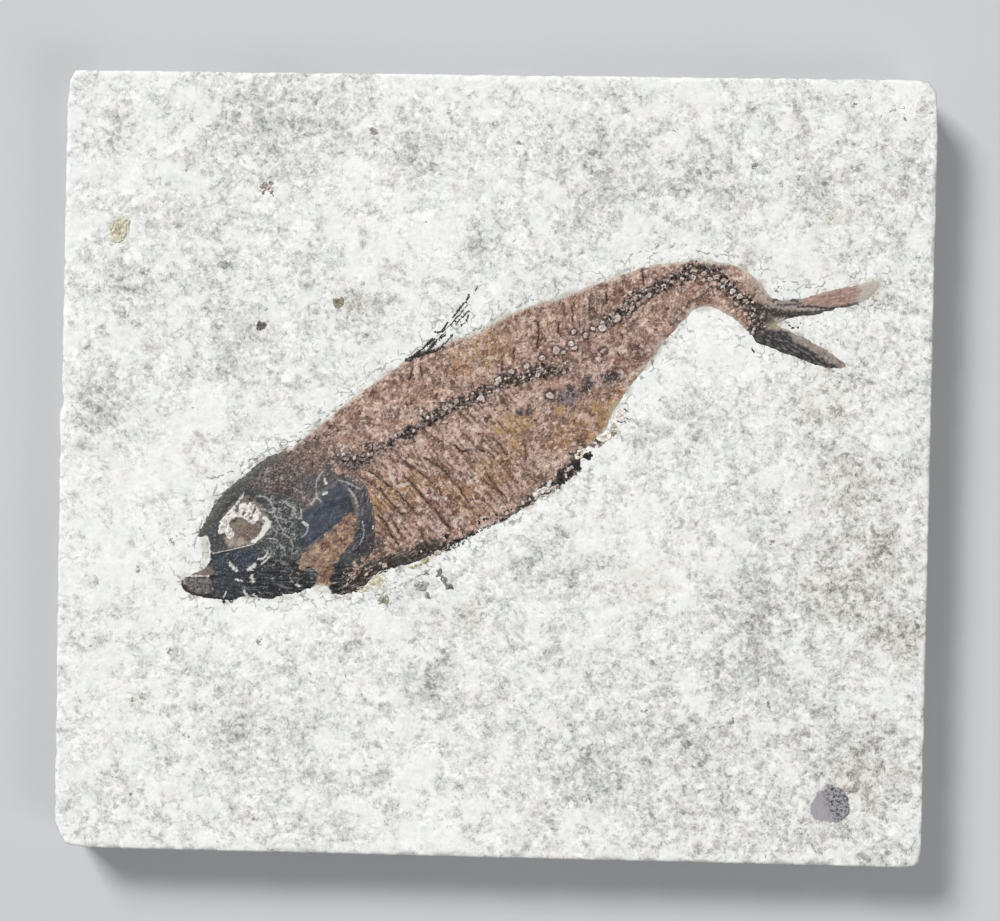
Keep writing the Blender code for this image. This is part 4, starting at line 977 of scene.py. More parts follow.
def skin_paint(spots):
    """Colours of the film on trunk and tail."""
    x, y = spots.T
    depth = in_fish(spots)
    above = y - 0.62 * x
    high_side = rise(above, 9.0, 12.0)
    paint = np.tile(srgb("A48475"), (len(spots), 1))
    grain = np.full(len(spots), 0.9)
    lay(paint, "AF8C76", 0.8 * rise(uneven(spots, 5.0, 80, 2), 0.0, 0.5))
    lay(paint, "93705F", 0.8 * rise(uneven(spots, 3.0, 81), 0.05, 0.5))
    lay(paint, "98867E", 0.6 * rise(uneven(spots, 3.6, 82), 0.15, 0.6))
    ochre, mustard = blots(spots, OCHRE_FILM), blots(spots, MUSTARD_FILM, 0.6)
    pale = blots(spots, PALE_FILM)
    lay(paint, "A47C5F", 0.8 * ochre)
    lay(paint, "AC8660", 0.9 * mustard)
    lay(paint, "C2A99E", 0.75 * pale)
    bits = uneven(spots, 0.6, 304, 3, 0.8)
    gap, lot = lumps(spots, 1.15, 201)
    small, grit = lumps(spots, 0.5, 211)
    body = 1 - 0.7 * mustard
    middle = rise(gap, 0.04, 0.3)
    swirl = uneven(spots, 2.6, 87, 5, 0.8)
    lay(paint, "5B4338", (0.62 + 0.16 * high_side) * rise(-swirl, 0.05, 0.36) * body)
    lay(paint, "DCC5B5", (0.66 + 0.12 * high_side) * rise(swirl, 0.08, 0.40) * body)
    lay(paint, "AE855A", 0.62 * ochre * (1 - mustard))
    lay(paint, "AA8A58", 0.55 * mustard * rise(uneven(spots, 1.2, 91), -0.3, 0.3))
    lay(paint, "D0B3A5", 0.50 * middle * rise(lot, 0.60, 0.90) * body)
    lay(paint, "6E5145", 0.45 * middle * rise(lot, 0.40, 0.10) * body)
    # Painted shade: dark lines in the cracks between the raised scale lumps.
    broken = rise(uneven(spots, 2.2, 205), -0.35, 0.15)
    lay(paint, "4B352E", 0.60 * rise(gap, 0.13, 0.02) * broken * body)
    lay(paint, "EBD9CE", 0.72 * rise(small, 0.05, 0.3) * rise(grit, 0.80, 0.93) * body)
    lay(paint, "3F2C26", 0.55 * rise(small, 0.05, 0.3) * rise(grit, 0.16, 0.05) * body)
    ribbed = rise(streaks(spots, 84, 2.6, 0.34, 83), 0.20, 0.55)
    lay(paint, "6A4D41", 0.65 * ribbed * high_side * rise(x, -10, 4))
    lay(paint, "CDAE9F", 0.60 * rise(streaks(spots, 84, 1.6, 0.34, 86), 0.28, 0.65) * high_side)
    slanted = streaks(spots, -48, 3.0, 0.4, 98)
    lay(paint, "5C4134", 0.75 * rise(slanted, 0.15, 0.5) * (1 - high_side) * rise(-x, -9, 0))
    lay(paint, "D6B9A6", 0.60 * rise(-slanted, 0.2, 0.55) * (1 - high_side) * rise(-x, -9, 0))
    for hexa, share, curl, width, seed, area, area_seed, start in (
            ("F0E1D8", 0.70, 0.55, 0.14, 210, 1.3, 212, 0.0),
            ("3A2822", 0.70, 0.55, 0.14, 213, 1.3, 214, 0.0),
            ("EBDAD0", 0.65, 0.9, 0.10, 90, 1.6, 79, -0.1),
            ("3F2C26", 0.60, 0.9, 0.10, 89, 1.6, 209, -0.1)):
        lay(paint, hexa, share * threads(spots, curl, width, seed)
            * rise(uneven(spots, area, area_seed), start, start + 0.4))
    # Slate-grey grains, pale squiggles and the dark beds of ribs and spines.
    slate = blots(spots, SLATE_FILM, 0.8, 0.5)
    lay(paint, "3E3738", 0.9 * slate)
    lay(paint, "97979C", 0.7 * blots(spots, [(9.7, 9.3, 1.3), (8.9, 8.6, 0.8)], 0.7, 0.4)
        * rise(grit, 0.55, 0.8))
    for path, width in FILM_WHITE_LINES:
        lay(paint, "E0D5CD", 0.65 * stroke(spots, path, 0.75 * width, 0.9, 0.4))
    for path in RIBS + BACK_SPINES:
        lay(paint, "4A342C", 0.55 * stroke(spots, path, 0.20, 0.6, 0.4))
    # Crushed backbone: a dark gritty band, with a dark ring round each vertebra painted as the
    # shade at its rim.
    crumble = uneven(spots, 0.6, 84, 2, 0.9)
    clusters = uneven(spots, 2.0, 78, 2)
    band = along_path(spots, smooth(BONE_BAND, 0.5))[0]
    stalk = along_path(spots, smooth(STALK_BAND, 0.5))[0]
    crushed = rise(1.0 - band + 0.9 * crumble + 0.7 * clusters, 0.0, 0.6)
    crushed = np.maximum(crushed, rise(1.1 - stalk + 0.9 * crumble + 0.6 * clusters, 0.0, 0.6))
    shaken = uneven(spots, 0.8, 301, 3, 0.8)
    lay(paint, "5A463E", 0.5 * crushed)
    fleck(paint, crushed, ("2C2321", 0.9, shaken, -0.32, -0.02),
          ("CDBBB0", 0.7, -shaken, 0.22, 0.5))
    # Painted shade: a dark ring on the film round each raised vertebra chip.
    for px, py, long, *_ in PEARLS:
        ring = np.hypot(x - px, y - py) - 0.5 * long
        lay(paint, "3B2D29", 0.75 * rise(0.34 - ring + 0.35 * crumble, 0.0, 0.25))
    # Keel and belly: a black crust, thicker towards the head, with bright fibres in it.
    fore = rise(-x, 1, 11)
    belly = rise(5.0 - above, 0, 3) * rise(12.2 - x, 0, 0.8)
    thick = 0.3 + 2.0 * fore + 1.3 * rise(x, 0.5, 6.0)
    dark = rise(thick - depth + 1.0 * crumble + 0.5 * clusters, 0.0, 0.5) * belly
    dark *= np.maximum(rise(uneven(spots, 2.5, 77), -0.5, 0.0), np.maximum(fore, rise(x, 3, 6)))
    lay(paint, "2E2827", 0.92 * dark)
    along = streaks(spots, 26, 1.8, 0.24, 76)
    fleck(paint, dark, ("B5AFAA", 0.75, along, 0.33, 0.55), ("7C655A", 0.40, -along, 0.4, 0.6))
    lay(paint, "A69990", 0.6 * dark * rise(bits, 0.2, 0.5) * rise(x, 4, 7))
    for path, width in FILM_WHITE_LINES[-3:]:
        lay(paint, "EFECE8", 0.95 * stroke(spots, path, width, 0.4, 0.4, soft=0.2))
    for path, width in SCUTE_LINES:
        lay(paint, "1B1919", 0.95 * stroke(spots, path, width, 0.5, 0.4, soft=0.3))
    nape = rise(3.4 + in_head(spots), 0, 2.4) * high_side
    lay(paint, "554A46", 0.75 * nape * rise(uneven(spots, 0.9, 75, 4, 0.8), -0.25, 0.15))
    lay(paint, "A89A8D", 0.85 * rise(x - 0.5 * y + 1.2 * uneven(spots, 1.6, 303), 18.6, 21.5)
        * rise(y + 0.9 * x, 51.5, 53.5) * rise(-x, -36, -34))
    # Tail: grey stuff with two brown lobes, a black lower edge and dark rays.
    tail = rise(x, 34.2, 36.5)
    fibres = streaks(spots, 12, 1.8, 0.24, 74)
    lay(paint, "A79A92", 0.9 * tail)
    upper = patch(spots, TAIL_BROWN_HIGH, 0.25, 0.6, 0.2)
    lay(paint, "9F8379", 0.9 * upper)
    fleck(paint, upper, ("7E6157", 0.6, fibres, 0.15, 0.5), ("C9AEA3", 0.6, -fibres, 0.3, 0.6))
    lower = patch(spots, TAIL_BROWN_LOW, 0.25, 0.6, 0.2)
    lay(paint, "92877F", 0.9 * lower)
    lay(paint, "5E534D", 0.7 * lower * rise(streaks(spots, -50, 1.2, 0.26, 208), 0.15, 0.5))
    lay(paint, "8B8985", 0.9 * patch(spots, TAIL_GREY, 0.3, 0.6, 0.2))
    low_black = patch(spots, TAIL_BLACK_LOW, 0.30, 0.6, 0.2)
    lay(paint, "2C2C2E", 0.95 * low_black)
    lay(paint, "9A9590", 0.75 * low_black * rise(streaks(spots, -28, 1.2, 0.24, 85), 0.15, 0.5))
    for path, width, hexa in TAIL_STRIPES:
        lay(paint, hexa, 0.9 * stroke(spots, path, width, 0.9, 0.4))
    lay(paint, "BDB7AD", 0.8 * rise(x + 1.2 * uneven(spots, 1.5, 72), 46.3, 47.8) * rise(y, 19, 21))
    lay(paint, "3C3837", 0.8 * blots(spots, [(33.9, 20.3, 1.0), (35.0, 20.0, 0.9),
                                             (34.2, 18.6, 0.9)]))
    lay(paint, "8A8A66", 0.7 * blots(spots, [(35.8, 18.9, 0.5), (35.0, 19.0, 0.3)]))
    # The film thins out to the colour of the stone at its margin.
    edge = rise(-depth + 0.45 * uneven(spots, 1.6, 70), -0.75, 0.10)
    edge = np.maximum(edge, blots(spots, [(27.5, 27.2, 0.8)]))
    lay(paint, "CFC8BB", 0.8 * edge * (1 - low_black) * (1 - 0.8 * tail)
        * (1 - belly * np.maximum(fore, rise(x, 2, 5))))
    for cover, share in ((edge, 0.4), (mustard, 0.5), (low_black, 0.7), (dark, 0.5), (tail, 0.4)):
        grain = grain * (1 - share * cover)
    return paint, grain


def fish_skin():
    """The skin film over trunk, tail stalk and tail."""
    piece, flat, top = modelled_sheet(
        "skin_film", SKIN_PITCH, FISH.min(axis=0) - 1, FISH.max(axis=0) + 1,
        lambda s: np.minimum(in_fish(s) + 0.45, 1.2 - in_head(s)), skin_top, BURIED)
    paint, grain = skin_paint(flat)
    note(piece.data, paint, grain=grain)
    # Phosphatised skin and scales: a brown film crazed into pinkish flakes and dark cracks; over
    # the film's own tone, the cracks carry painted shade and the flakes' crests a painted
    # highlight.
    film = mottled("brown_skin_film", 0.7, "443129", "E6D3C8", 0.6, 0.14)
    settle(piece, film, "fossil_fish")
    return flat, top, paint


def head_paint(spots):
    """Colours of the skull, gill cover and jaws."""
    x, y = spots.T
    depth = in_fish(spots)
    bits = uneven(spots, 0.6, 110, 3, 0.9)
    patchy = rise(uneven(spots, 1.5, 112), -0.3, 0.2)
    gap, lot = lumps(spots, 0.75, 221)
    paint = np.tile(srgb("434546"), (len(spots), 1))
    grain = np.full(len(spots), 0.6)
    # Skull roof: brownish grey bone full of pale curls and dark pits.
    upper = rise(y + 0.35 * x + 0.8 * uneven(spots, 2.0, 111), -15.5, -13.5)
    lay(paint, "6A615E", upper)
    lay(paint, "4C3A37", 0.8 * blots(spots, [(-26.4, -1.6, 1.6), (-27.5, -3.5, 1.6),
                                             (-24.0, -1.0, 1.0)], 0.8, 0.8))
    fleck(paint, upper, ("9B908C", 0.75, bits, 0.15, 0.55), ("2C2627", 0.75, -bits, 0.15, 0.55))
    lay(paint, "CFC6C1", 0.75 * upper * threads(spots, 0.7, 0.16, 91) * patchy)
    lay(paint, "262223", 0.7 * upper * threads(spots, 0.7, 0.16, 222) * (1 - 0.6 * patchy))
    nape = rise(y + 0.9 * x + 1.3 * uneven(spots, 1.2, 113), -26.5, -23.0) * rise(y, -3.5, -1.0)
    lay(paint, "7F6A61", 0.85 * nape)
    fleck(paint, nape, ("CDB3A6", 0.6, bits, 0.2, 0.6), ("3A302E", 0.8, -bits, 0.02, 0.35))
    # Cheek: dark bone crazed by white.
    cheek = patch(spots, CHEEK, 0.7)
    lay(paint, "484B4A", 0.85 * cheek)
    fleck(paint, cheek, ("1E2021", 0.75, -bits, 0.1, 0.4))
    lay(paint, "CFD0CB", 0.85 * cheek * threads(spots, 0.6, 0.17, 92) * patchy)
    fleck(paint, cheek, ("8C908D", 0.7, bits, 0.2, 0.5))
    crown = along_path(spots, smooth(FOREHEAD, 0.5))[0]
    rim = rise(1.3 - crown + 0.5 * uneven(spots, 1.1, 93, 3, 0.7), -0.3, 0.4) * rise(-y, -1.2, 0.5)
    lay(paint, "53534E", 0.85 * rim)
    fleck(paint, rim, ("77776F", 0.5, bits, 0.3, 0.6))
    grain -= 0.35 * rim
    # Jaws and throat: black, with fine bright splinters lying along them.
    low = rise(-y - 0.08 * x + 0.35 * bits, 14.9, 15.6)
    splinters = streaks(spots, -4, 2.0, 0.24, 94)
    lay(paint, "2C2D30", 0.9 * low)
    fleck(paint, low, ("8D8D8E", 0.6, splinters, 0.30, 0.55), ("131315", 0.7, -splinters, 0.2, 0.5),
          ("B9B9B7", 0.75, bits, 0.35, 0.6))
    lay(paint, "3A424F", 0.8 * patch(spots, BLUE_PLATE, 0.5))
    lay(paint, "3A4248", 0.75 * patch(spots, [(-36.3, -12.7), (-34.0, -12.8), (-33.4, -15.0),
                                              (-32.0, -17.8), (-35.9, -18.0), (-36.2, -15.2)], 0.4))
    lay(paint, "1F2226", 0.6 * rise(-bits, 0.2, 0.5) * rise(-y, 11.5, 12.5) * rise(-x, 29, 31))
    lay(paint, "8F949A", 0.6 * rise(bits, 0.45, 0.75) * rise(-y, 11.5, 12.5) * rise(-x, 29, 31))
    lay(paint, "73685F", 0.9 * patch(spots, [(-39.2, -15.3), (-37.6, -14.5), (-36.5, -14.5),
                                             (-36.2, -15.2), (-36.9, -15.6), (-39.1, -15.7)], 0.2))
    tip = patch(spots, JAW_TIP, 0.15)
    lay(paint, "716B68", 0.95 * tip)
    fleck(paint, tip, ("2A2727", 0.85, -bits, 0.05, 0.4), ("ABA6A2", 0.75, bits, 0.2, 0.5))
    lay(paint, "2C2A2A", 0.8 * stroke(spots, [(-40.4, -16.7), (-39.2, -18.0), (-36.4, -18.3)], 0.3))
    # Gill cover: a smooth blue-black plate, and the shoulder bone curved round behind it.
    cover = patch(spots, GILL_COVER_FACE, 0.3, 0.8, 0.25)
    lay(paint, "434955", 0.95 * cover)
    lay(paint, "2E3340", 0.7 * cover * rise(uneven(spots, 1.8, 116, 3), 0.0, 0.6))
    lay(paint, "666B76", 0.65 * cover * rise(uneven(spots, 1.0, 223, 4, 0.8), 0.0, 0.5))
    fleck(paint, cover, ("A9ADB3", 0.6, bits, 0.58, 0.85))
    crescent = patch(spots, SHOULDER_FACE, 0.35, 0.8, 0.25)
    curved = streaks(spots, 84, 1.6, 0.26, 95)
    lay(paint, "4E4C50", 0.95 * crescent)
    fleck(paint, crescent, ("31343D", 0.8, -y + bits, 6.5, 9.5),
          ("9A9B9F", 0.65, curved, 0.25, 0.55), ("1F2027", 0.6, -curved, 0.2, 0.55))
    lay(paint, "2A2C34", 0.6 * blots(spots, [(-18.7, -5.9, 1.2)]))
    lay(paint, "756A61", 0.8 * stroke(spots, [(-18.6, -4.6), (-17.9, -6.2), (-17.9, -7.6)],
                                      0.30, 0.6))
    lay(paint, "4E4E50", 0.8 * blots(spots, [(-22.3, -3.6, 1.6), (-23.6, -3.2, 1.2)], 0.6, 0.7))
    keel = rise(-y - 0.42 * x + 0.4 * bits, 21.3, 22.0) * rise(x, -21.5, -20.5)
    bands = streaks(spots, 18, 1.8, 0.24, 117)
    lay(paint, "2B292A", 0.9 * keel)
    fleck(paint, keel, ("A9A5A0", 0.8, bands, 0.25, 0.5), ("141314", 0.7, -bands, 0.2, 0.5))
    lay(paint, "41363C", 0.7 * blots(spots, [(-16.0, -11.2, 1.3)], 0.6, 0.8))
    # Ochre crust: lumpy iron-stained calcite, cracked between its lumps; over the crust's own tone
    # it is painted paler on its swells and lump tops and darker in its hollows and cracks, as
    # painted highlight and painted shade that follow its relief.
    crust = patch(spots, OCHRE_CRUST, 0.45, 0.9)
    swell = uneven(spots, 1.3, 96, 4, 0.75)
    lay(paint, "8F7463", crust)
    fleck(paint, crust, ("C2A48A", 0.9, swell, 0.02, 0.40), ("5A4036", 0.85, -swell, 0.05, 0.45),
          ("9A8A7C", 0.5, -x, 21.5, 24.0))
    lay(paint, "49322A", 0.75 * crust * rise(gap, 0.16, 0.03)
        * rise(uneven(spots, 1.2, 97), -0.3, 0.2))
    lay(paint, "CDB192", 0.6 * crust * rise(gap, 0.2, 0.5) * rise(lot, 0.75, 0.9))
    grain -= 0.30 * crust + 0.35 * cover + 0.30 * low + 0.2 * crescent
    # Eye: a brown hollow with chalky lumps and dull green crystals.
    socket = patch(spots, EYE_HOLLOW, 0.3, 0.8)
    lay(paint, "7A706A", 0.95 * socket)
    fleck(paint, socket, ("3D302C", 0.8, -bits, 0.1, 0.5), ("B9AB9E", 0.7, bits, 0.2, 0.6))
    lay(paint, "8A8573", 0.8 * blots(spots, [(-33.5, -8.7, 0.9), (-32.7, -9.2, 0.6)], 0.7, 0.5))
    lay(paint, "7C6056", 0.5 * blots(spots, [(-32.3, -9.9, 1.2), (-31.3, -9.3, 0.8)], 0.5, 0.6))
    lay(paint, "C9B6A6", 0.6 * blots(spots, [(-34.2, -11.0, 0.7), (-32.9, -11.0, 0.6)], 0.6, 0.5))
    lay(paint, "F2EEEA", 0.95 * patch(spots, EYE_HOOK, 0.35, 0.7))
    lay(paint, "E1E2DC", 0.95 * patch(spots, EYE_CRESCENT, 0.30, 0.6))
    lay(paint, "4A403C", 0.85 * blots(spots, [(-33.4, -6.9, 0.35), (-33.7, -8.3, 0.35),
                                              (-31.1, -6.9, 0.3), (-32.5, -7.3, 0.3),
                                              (-31.6, -7.9, 0.25)], 0.7, 0.5))
    for path, width in HEAD_WHITE:
        lay(paint, "E8E4DF", 0.9 * stroke(spots, path, width, 1.2, 0.3))
    for path, width in HEAD_PALE:
        lay(paint, "B4B3B0", 0.75 * stroke(spots, path, 0.85 * width, 1.3, 0.35))
    lay(paint, "ECEAE6", 0.95 * patch(spots, SNOUT_GAP, 0.25))
    lay(paint, "EDEAE3", 0.95 * patch(spots, [(-23.5, -16.7), (-22.4, -16.4), (-21.3, -16.5),
                                              (-20.9, -17.6), (-21.9, -17.8),
                                              (-23.1, -17.8)], 0.15))
    edge = rise(-depth + 0.15 * bits, -0.12, 0.25)
    lay(paint, "CFC8BB", 0.7 * edge)
    return paint, np.clip(grain, 0.05, 1)


def fish_head():
    """The skull, cheek and jaws, in one modelled crust of bone."""
    piece, flat, _ = modelled_sheet(
        "skull_bones", HEAD_PITCH, (-42, -20), (-14, 4),
        lambda s: np.minimum(depth_in(s, FISH) + 0.45, in_head(s)), head_top, BURIED)
    paint, grain = head_paint(flat)
    note(piece.data, paint, grain=grain)
    # Dense fossil bone: near black with a blue cast, worn to a dull gloss; its crests carry a
    # painted highlight and its crevices painted shade.
    bone = mottled("dark_skull_bone", 0.6, "1C1B1C", "BDB6B0", 0.45, 0.1)
    settle(piece, bone, "fossil_fish")


# ---------------------------------------------------------------- grown details

def new_tree(name, inputs):
    """A geometry tree with these named inputs, and its group input node."""
    tree = bpy.data.node_groups.new(name, "GeometryNodeTree")
    tree.interface.new_socket(name="Geometry", in_out="OUTPUT", socket_type="NodeSocketGeometry")
    tree.interface.new_socket(name="Geometry", in_out="INPUT", socket_type="NodeSocketGeometry")
    for label in inputs:
        tree.interface.new_socket(name=label, in_out="INPUT", socket_type="NodeSocketFloat")
    return tree, add(tree, "NodeGroupInput")


def close_tree(tree, geometry, material):
    """Makes the instances real, gives them their material and puts them out."""
    real = add(tree, "GeometryNodeRealizeInstances", {0: geometry})
    done = add(tree, "GeometryNodeSetMaterial", {"Geometry": real, "Material": material})
    add(tree, "NodeGroupOutput", {0: done})
    return tree


def grown(name, guide, tree, material, node="fossil_fish", slot="fossil_bone", **settings):
    """Grows a tree on a guide mesh and keeps the outcome as a plain mesh piece."""
    holder = bpy.data.objects.new(name + "_guide", guide)
    bpy.context.collection.objects.link(holder)
    modifier = holder.modifiers.new("grow", "NODES")
    modifier.node_group = tree
    for item in tree.interface.items_tree:
        label = item.name.replace(" ", "_")
        if item.in_out == "INPUT" and label in settings:
            modifier[item.identifier] = float(settings[label])
    mesh = bpy.data.meshes.new_from_object(holder.evaluated_get(
        bpy.context.evaluated_depsgraph_get()))
    holder.modifiers.remove(modifier)
    bpy.data.objects.remove(holder)
    piece = bpy.data.objects.new(name, mesh)
    bpy.context.collection.objects.link(piece)
    settle(piece, material, node)


def flake_tree(name, material):
    """Flat crumbs strewn over the guide as thickly as its "strewn" value says."""
    tree, given = new_tree(name, ["Per square mm", "Size", "Longer", "Flatness", "Sink", "Seed"])
    strewn = add(tree, "GeometryNodeInputNamedAttribute", {"Name": "strewn"})
    dense = add(tree, "Math", {0: given.outputs["Per square mm"], 1: strewn},
                operation="MULTIPLY")
    dense = add(tree, "Math", {0: dense, 1: 1000000.0}, operation="MULTIPLY")
    points = add(tree, "GeometryNodeDistributePointsOnFaces", {
        "Mesh": given.outputs["Geometry"], "Density": dense, "Seed": given.outputs["Seed"]})
    chance = add(tree, "FunctionNodeRandomValue", {"Min": 0.45, "Max": 1.25, "Seed": 3},
                 data_type="FLOAT").outputs[1]
    size = add(tree, "Math", {0: chance, 1: given.outputs["Size"]}, operation="MULTIPLY")
    long, thick = (add(tree, "Math", {0: size, 1: given.outputs[word]}, operation="MULTIPLY")
                   for word in ("Longer", "Flatness"))
    shape = add(tree, "CombineXYZ", {0: long, 1: size, 2: thick})
    spin, knock = (
        add(tree, "FunctionNodeRandomValue", {"Min": tuple(-part for part in most), "Max": most,
                                              "Seed": seed}, data_type="FLOAT_VECTOR")
        for most, seed in (((0.35, 0.35, 3.1), 5), ((0.3, 0.3, 0.3), 7)))
    ball = add(tree, "GeometryNodeMeshIcoSphere", {"Radius": 1.0, "Subdivisions": 1})
    sink = add(tree, "Math", {0: given.outputs["Sink"], 1: -1.0}, operation="MULTIPLY")
    lowered = add(tree, "GeometryNodeSetPosition", {
        "Geometry": points, "Offset": add(tree, "CombineXYZ", {2: sink})})
    set_out = add(tree, "GeometryNodeInstanceOnPoints", {
        "Points": lowered, "Instance": ball, "Rotation": spin, "Scale": shape})
    shade = add(tree, "FunctionNodeRandomValue", {"Min": 0.0, "Max": 1.0, "Seed": 11},
                data_type="FLOAT").outputs[1]
    shaded = add(tree, "GeometryNodeStoreNamedAttribute", {
        "Geometry": set_out, "Name": "shade", "Value": shade}, data_type="FLOAT",
        domain="INSTANCE")
    real = add(tree, "GeometryNodeRealizeInstances", {0: shaded})
    dent = add(tree, "VectorMath", {0: knock, "Scale": given.outputs["Size"]},
               operation="SCALE")
    broken = add(tree, "GeometryNodeSetPosition", {"Geometry": real, "Offset": dent})
    return close_tree(tree, broken, material)


def shake(tree, size, most):
    """A push to and fro that changes over this many millimetres, up to half of most."""
    noise = add(tree, "TexNoise", {"Vector": add(tree, "GeometryNodeInputPosition"),
                                   "Scale": per_mm(size), "Detail": 2.0})
    middle = add(tree, "VectorMath", {0: noise.outputs["Color"], 1: (0.5,) * 3},
                 operation="SUBTRACT")
    return add(tree, "VectorMath", {0: middle, "Scale": most}, operation="SCALE")


def rod_tree(name, material):
    """Thin bones swept along the guide's lines, broken and a little crooked."""
    tree, given = new_tree(name, ["Crooked"])
    line = add(tree, "GeometryNodeMeshToCurve", {0: given.outputs["Geometry"]})
    even = add(tree, "GeometryNodeResampleCurve", {"Curve": line, "Length": 0.15 * MM},
               mode="LENGTH")
    bent = add(tree, "GeometryNodeSetPosition", {
        "Geometry": even, "Offset": shake(tree, 0.7, given.outputs["Crooked"])})
    worn = add(tree, "TexNoise", {"Vector": add(tree, "GeometryNodeInputPosition"),
                                  "Scale": per_mm(0.9), "Detail": 1.0})
    girth = add(tree, "MapRange", {0: worn, 1: 0.28, 2: 0.6, 4: 0.5}, **SOFT)
    wide = add(tree, "GeometryNodeInputNamedAttribute", {"Name": "wide"})
    girth = add(tree, "Math", {0: girth, 1: wide}, operation="MULTIPLY")
    sized = add(tree, "GeometryNodeSetCurveRadius", {"Curve": bent, "Radius": girth})
    round_bar = add(tree, "GeometryNodeCurvePrimitiveCircle", {"Resolution": 6, "Radius": 1.0})
    swept = add(tree, "GeometryNodeCurveToMesh", {"Curve": sized, "Profile Curve": round_bar,
                                                  "Fill Caps": True})
    if "Scale" in swept.inputs:
        tree.links.new(add(tree, "GeometryNodeInputRadius").outputs[0], swept.inputs["Scale"])
    return close_tree(tree, swept, material)


def lines_mesh(name, rows, height, spacing=0.3):
    """A guide of bare lines laid on a surface; rows give each line's path and its width."""
    verts, edges, wides = [], [], []
    for path, wide in rows:
        points = smooth(path, spacing)
        start = len(verts)
        verts += [*np.column_stack([points, height(points)])]
        wides += [wide * MM] * len(points)
        edges += [(start + k, start + k + 1) for k in range(len(points) - 1)]
    mesh = bpy.data.meshes.new(name)
    mesh.from_pydata((np.array(verts) * MM).tolist(), edges, [])
    note(mesh, wide=wides)
    return mesh


def sheet_guide(name, flat, faces, height, strewn, paint):
    """A guide surface that says how thickly crumbs are strewn, and the colour beneath."""
    keep = strewn > 0.01
    faces = faces[keep[faces].any(axis=1)]
    used = np.unique(faces)
    number = np.full(len(flat), -1)
    number[used] = np.arange(len(used))
    mesh = bpy.data.meshes.new(name)
    mesh.from_pydata((np.column_stack([flat, height(flat)])[used] * MM).tolist(), [],
                     number[faces].tolist())
    note(mesh, paint[used], strewn=strewn[used])
    return mesh


def flake_material(name, dark, pale, roughness=0.55, spread=0.4):
    """Crumbs that take the colour beneath them, some much darker, some much paler."""
    material, tree, shader, place = start_material(name, roughness)
    shade = add(tree, "Attribute", attribute_name="shade").outputs["Fac"]
    look = add(tree, "Attribute", attribute_name="paint").outputs["Color"]
    grit = add(tree, "TexNoise", {"Vector": place, "Scale": per_mm(0.3), "Detail": 2.0,
                                  "Roughness": 0.6})
    for what, start, full, hexa, kind in (
            (shade, spread, 0.0, dark, MIX), (shade, 1 - spread, 1.0, pale, MIX),
            (grit, 0.55, 0.3, "C5B7AF", TINT)):
        cover = add(tree, "MapRange", {0: what, 1: start, 2: full}, **SOFT)
        look = add(tree, "Mix", {0: cover, 6: look, 7: colour(hexa)}, **kind).outputs[2]
    tree.links.new(look, shader.inputs["Base Color"])
    return material


def plain_bone(name, hexa, worn, roughness=0.5):
    """One stuff, mottled a little at a fine scale."""
    material, tree, shader, place = start_material(name, roughness)
    grit = add(tree, "TexNoise", {"Vector": place, "Scale": per_mm(0.5), "Detail": 3.0,
                                  "Roughness": 0.7})
    cover = add(tree, "MapRange", {0: grit, 1: 0.45, 2: 0.65}, **SOFT)
    look = add(tree, "Mix", {0: cover, 6: colour(hexa), 7: colour(worn)}, **MIX).outputs[2]
    tree.links.new(look, shader.inputs["Base Color"])
    return material


def skin_flakes(flat, top, paint):
    """Scale fragments all over the film, and crumbs of bone where bones lie beneath it."""
    depth = in_fish(flat)
    crumble = uneven(flat, 0.8, 102)
    # Broken scales: thin plates of the film's own stuff, lying every way.
    scales = flake_material("scale_fragments", "6B5348", "CDB4A7")
    strewn = (rise(depth, 0.3, 1.0) * rise(flat[:, 0], 35.0, 33.0)
              * (0.65 + 0.5 * uneven(flat, 2.0, 101)))
    guide = sheet_guide("film", flat, top, skin_top, np.clip(strewn, 0, 1), paint)
    grown("scale_flakes", guide, flake_tree("scale_flakes", scales), scales,
          Per_square_mm=1.0, Size=0.27 * MM, Longer=1.5, Flatness=0.26,
          Sink=0.02 * MM, Seed=1)
    # Crushed backbone and keel: black bone crumbs with a few chalky ones among them.
    crumbs = flake_material("crushed_bone", "1E1A19", "D9CBC1", 0.45, 0.62)
    band = along_path(flat, smooth(BONE_BAND, 0.5))[0]
    stalk = along_path(flat, smooth(STALK_BAND, 0.5))[0]
    keel = along_path(flat, smooth(KEEL, 0.5))[0]
    clusters = uneven(flat, 2.0, 78, 2)
    strewn = np.maximum(rise(0.6 - band + 0.7 * crumble + 0.7 * clusters, 0, 0.6),
                        rise(0.9 - stalk + 0.7 * crumble + 0.6 * clusters, 0, 0.6))
    strewn = np.maximum(strewn, 0.5 * rise(0.6 - keel + 0.5 * crumble, 0, 0.5))
    guide = sheet_guide("bones", flat, top, skin_top, np.clip(strewn, 0, 1), paint)
    grown("bone_crumbs", guide, flake_tree("bone_crumbs", crumbs), crumbs,
          Per_square_mm=8.0, Size=0.21 * MM, Longer=1.3, Flatness=0.6,
          Sink=0.0, Seed=2)


def thin_bones():
    """Ribs and the spines above the backbone: black hair-thin bones on the film."""
    # Phosphate bone stained black by iron: brownish where thin, so each rib reads as a hair.
    bone = plain_bone("black_rib_bone", "35281F", "6B5548")
    rows = [(path, 0.12 + 0.05 * (k % 3)) for k, path in enumerate(RIBS)]
    guide = lines_mesh("ribs", rows + [(path, 0.18) for path in BACK_SPINES], skin_top)
    grown("ribs_and_spines", guide, rod_tree("ribs", bone), bone, Crooked=0.5 * MM)


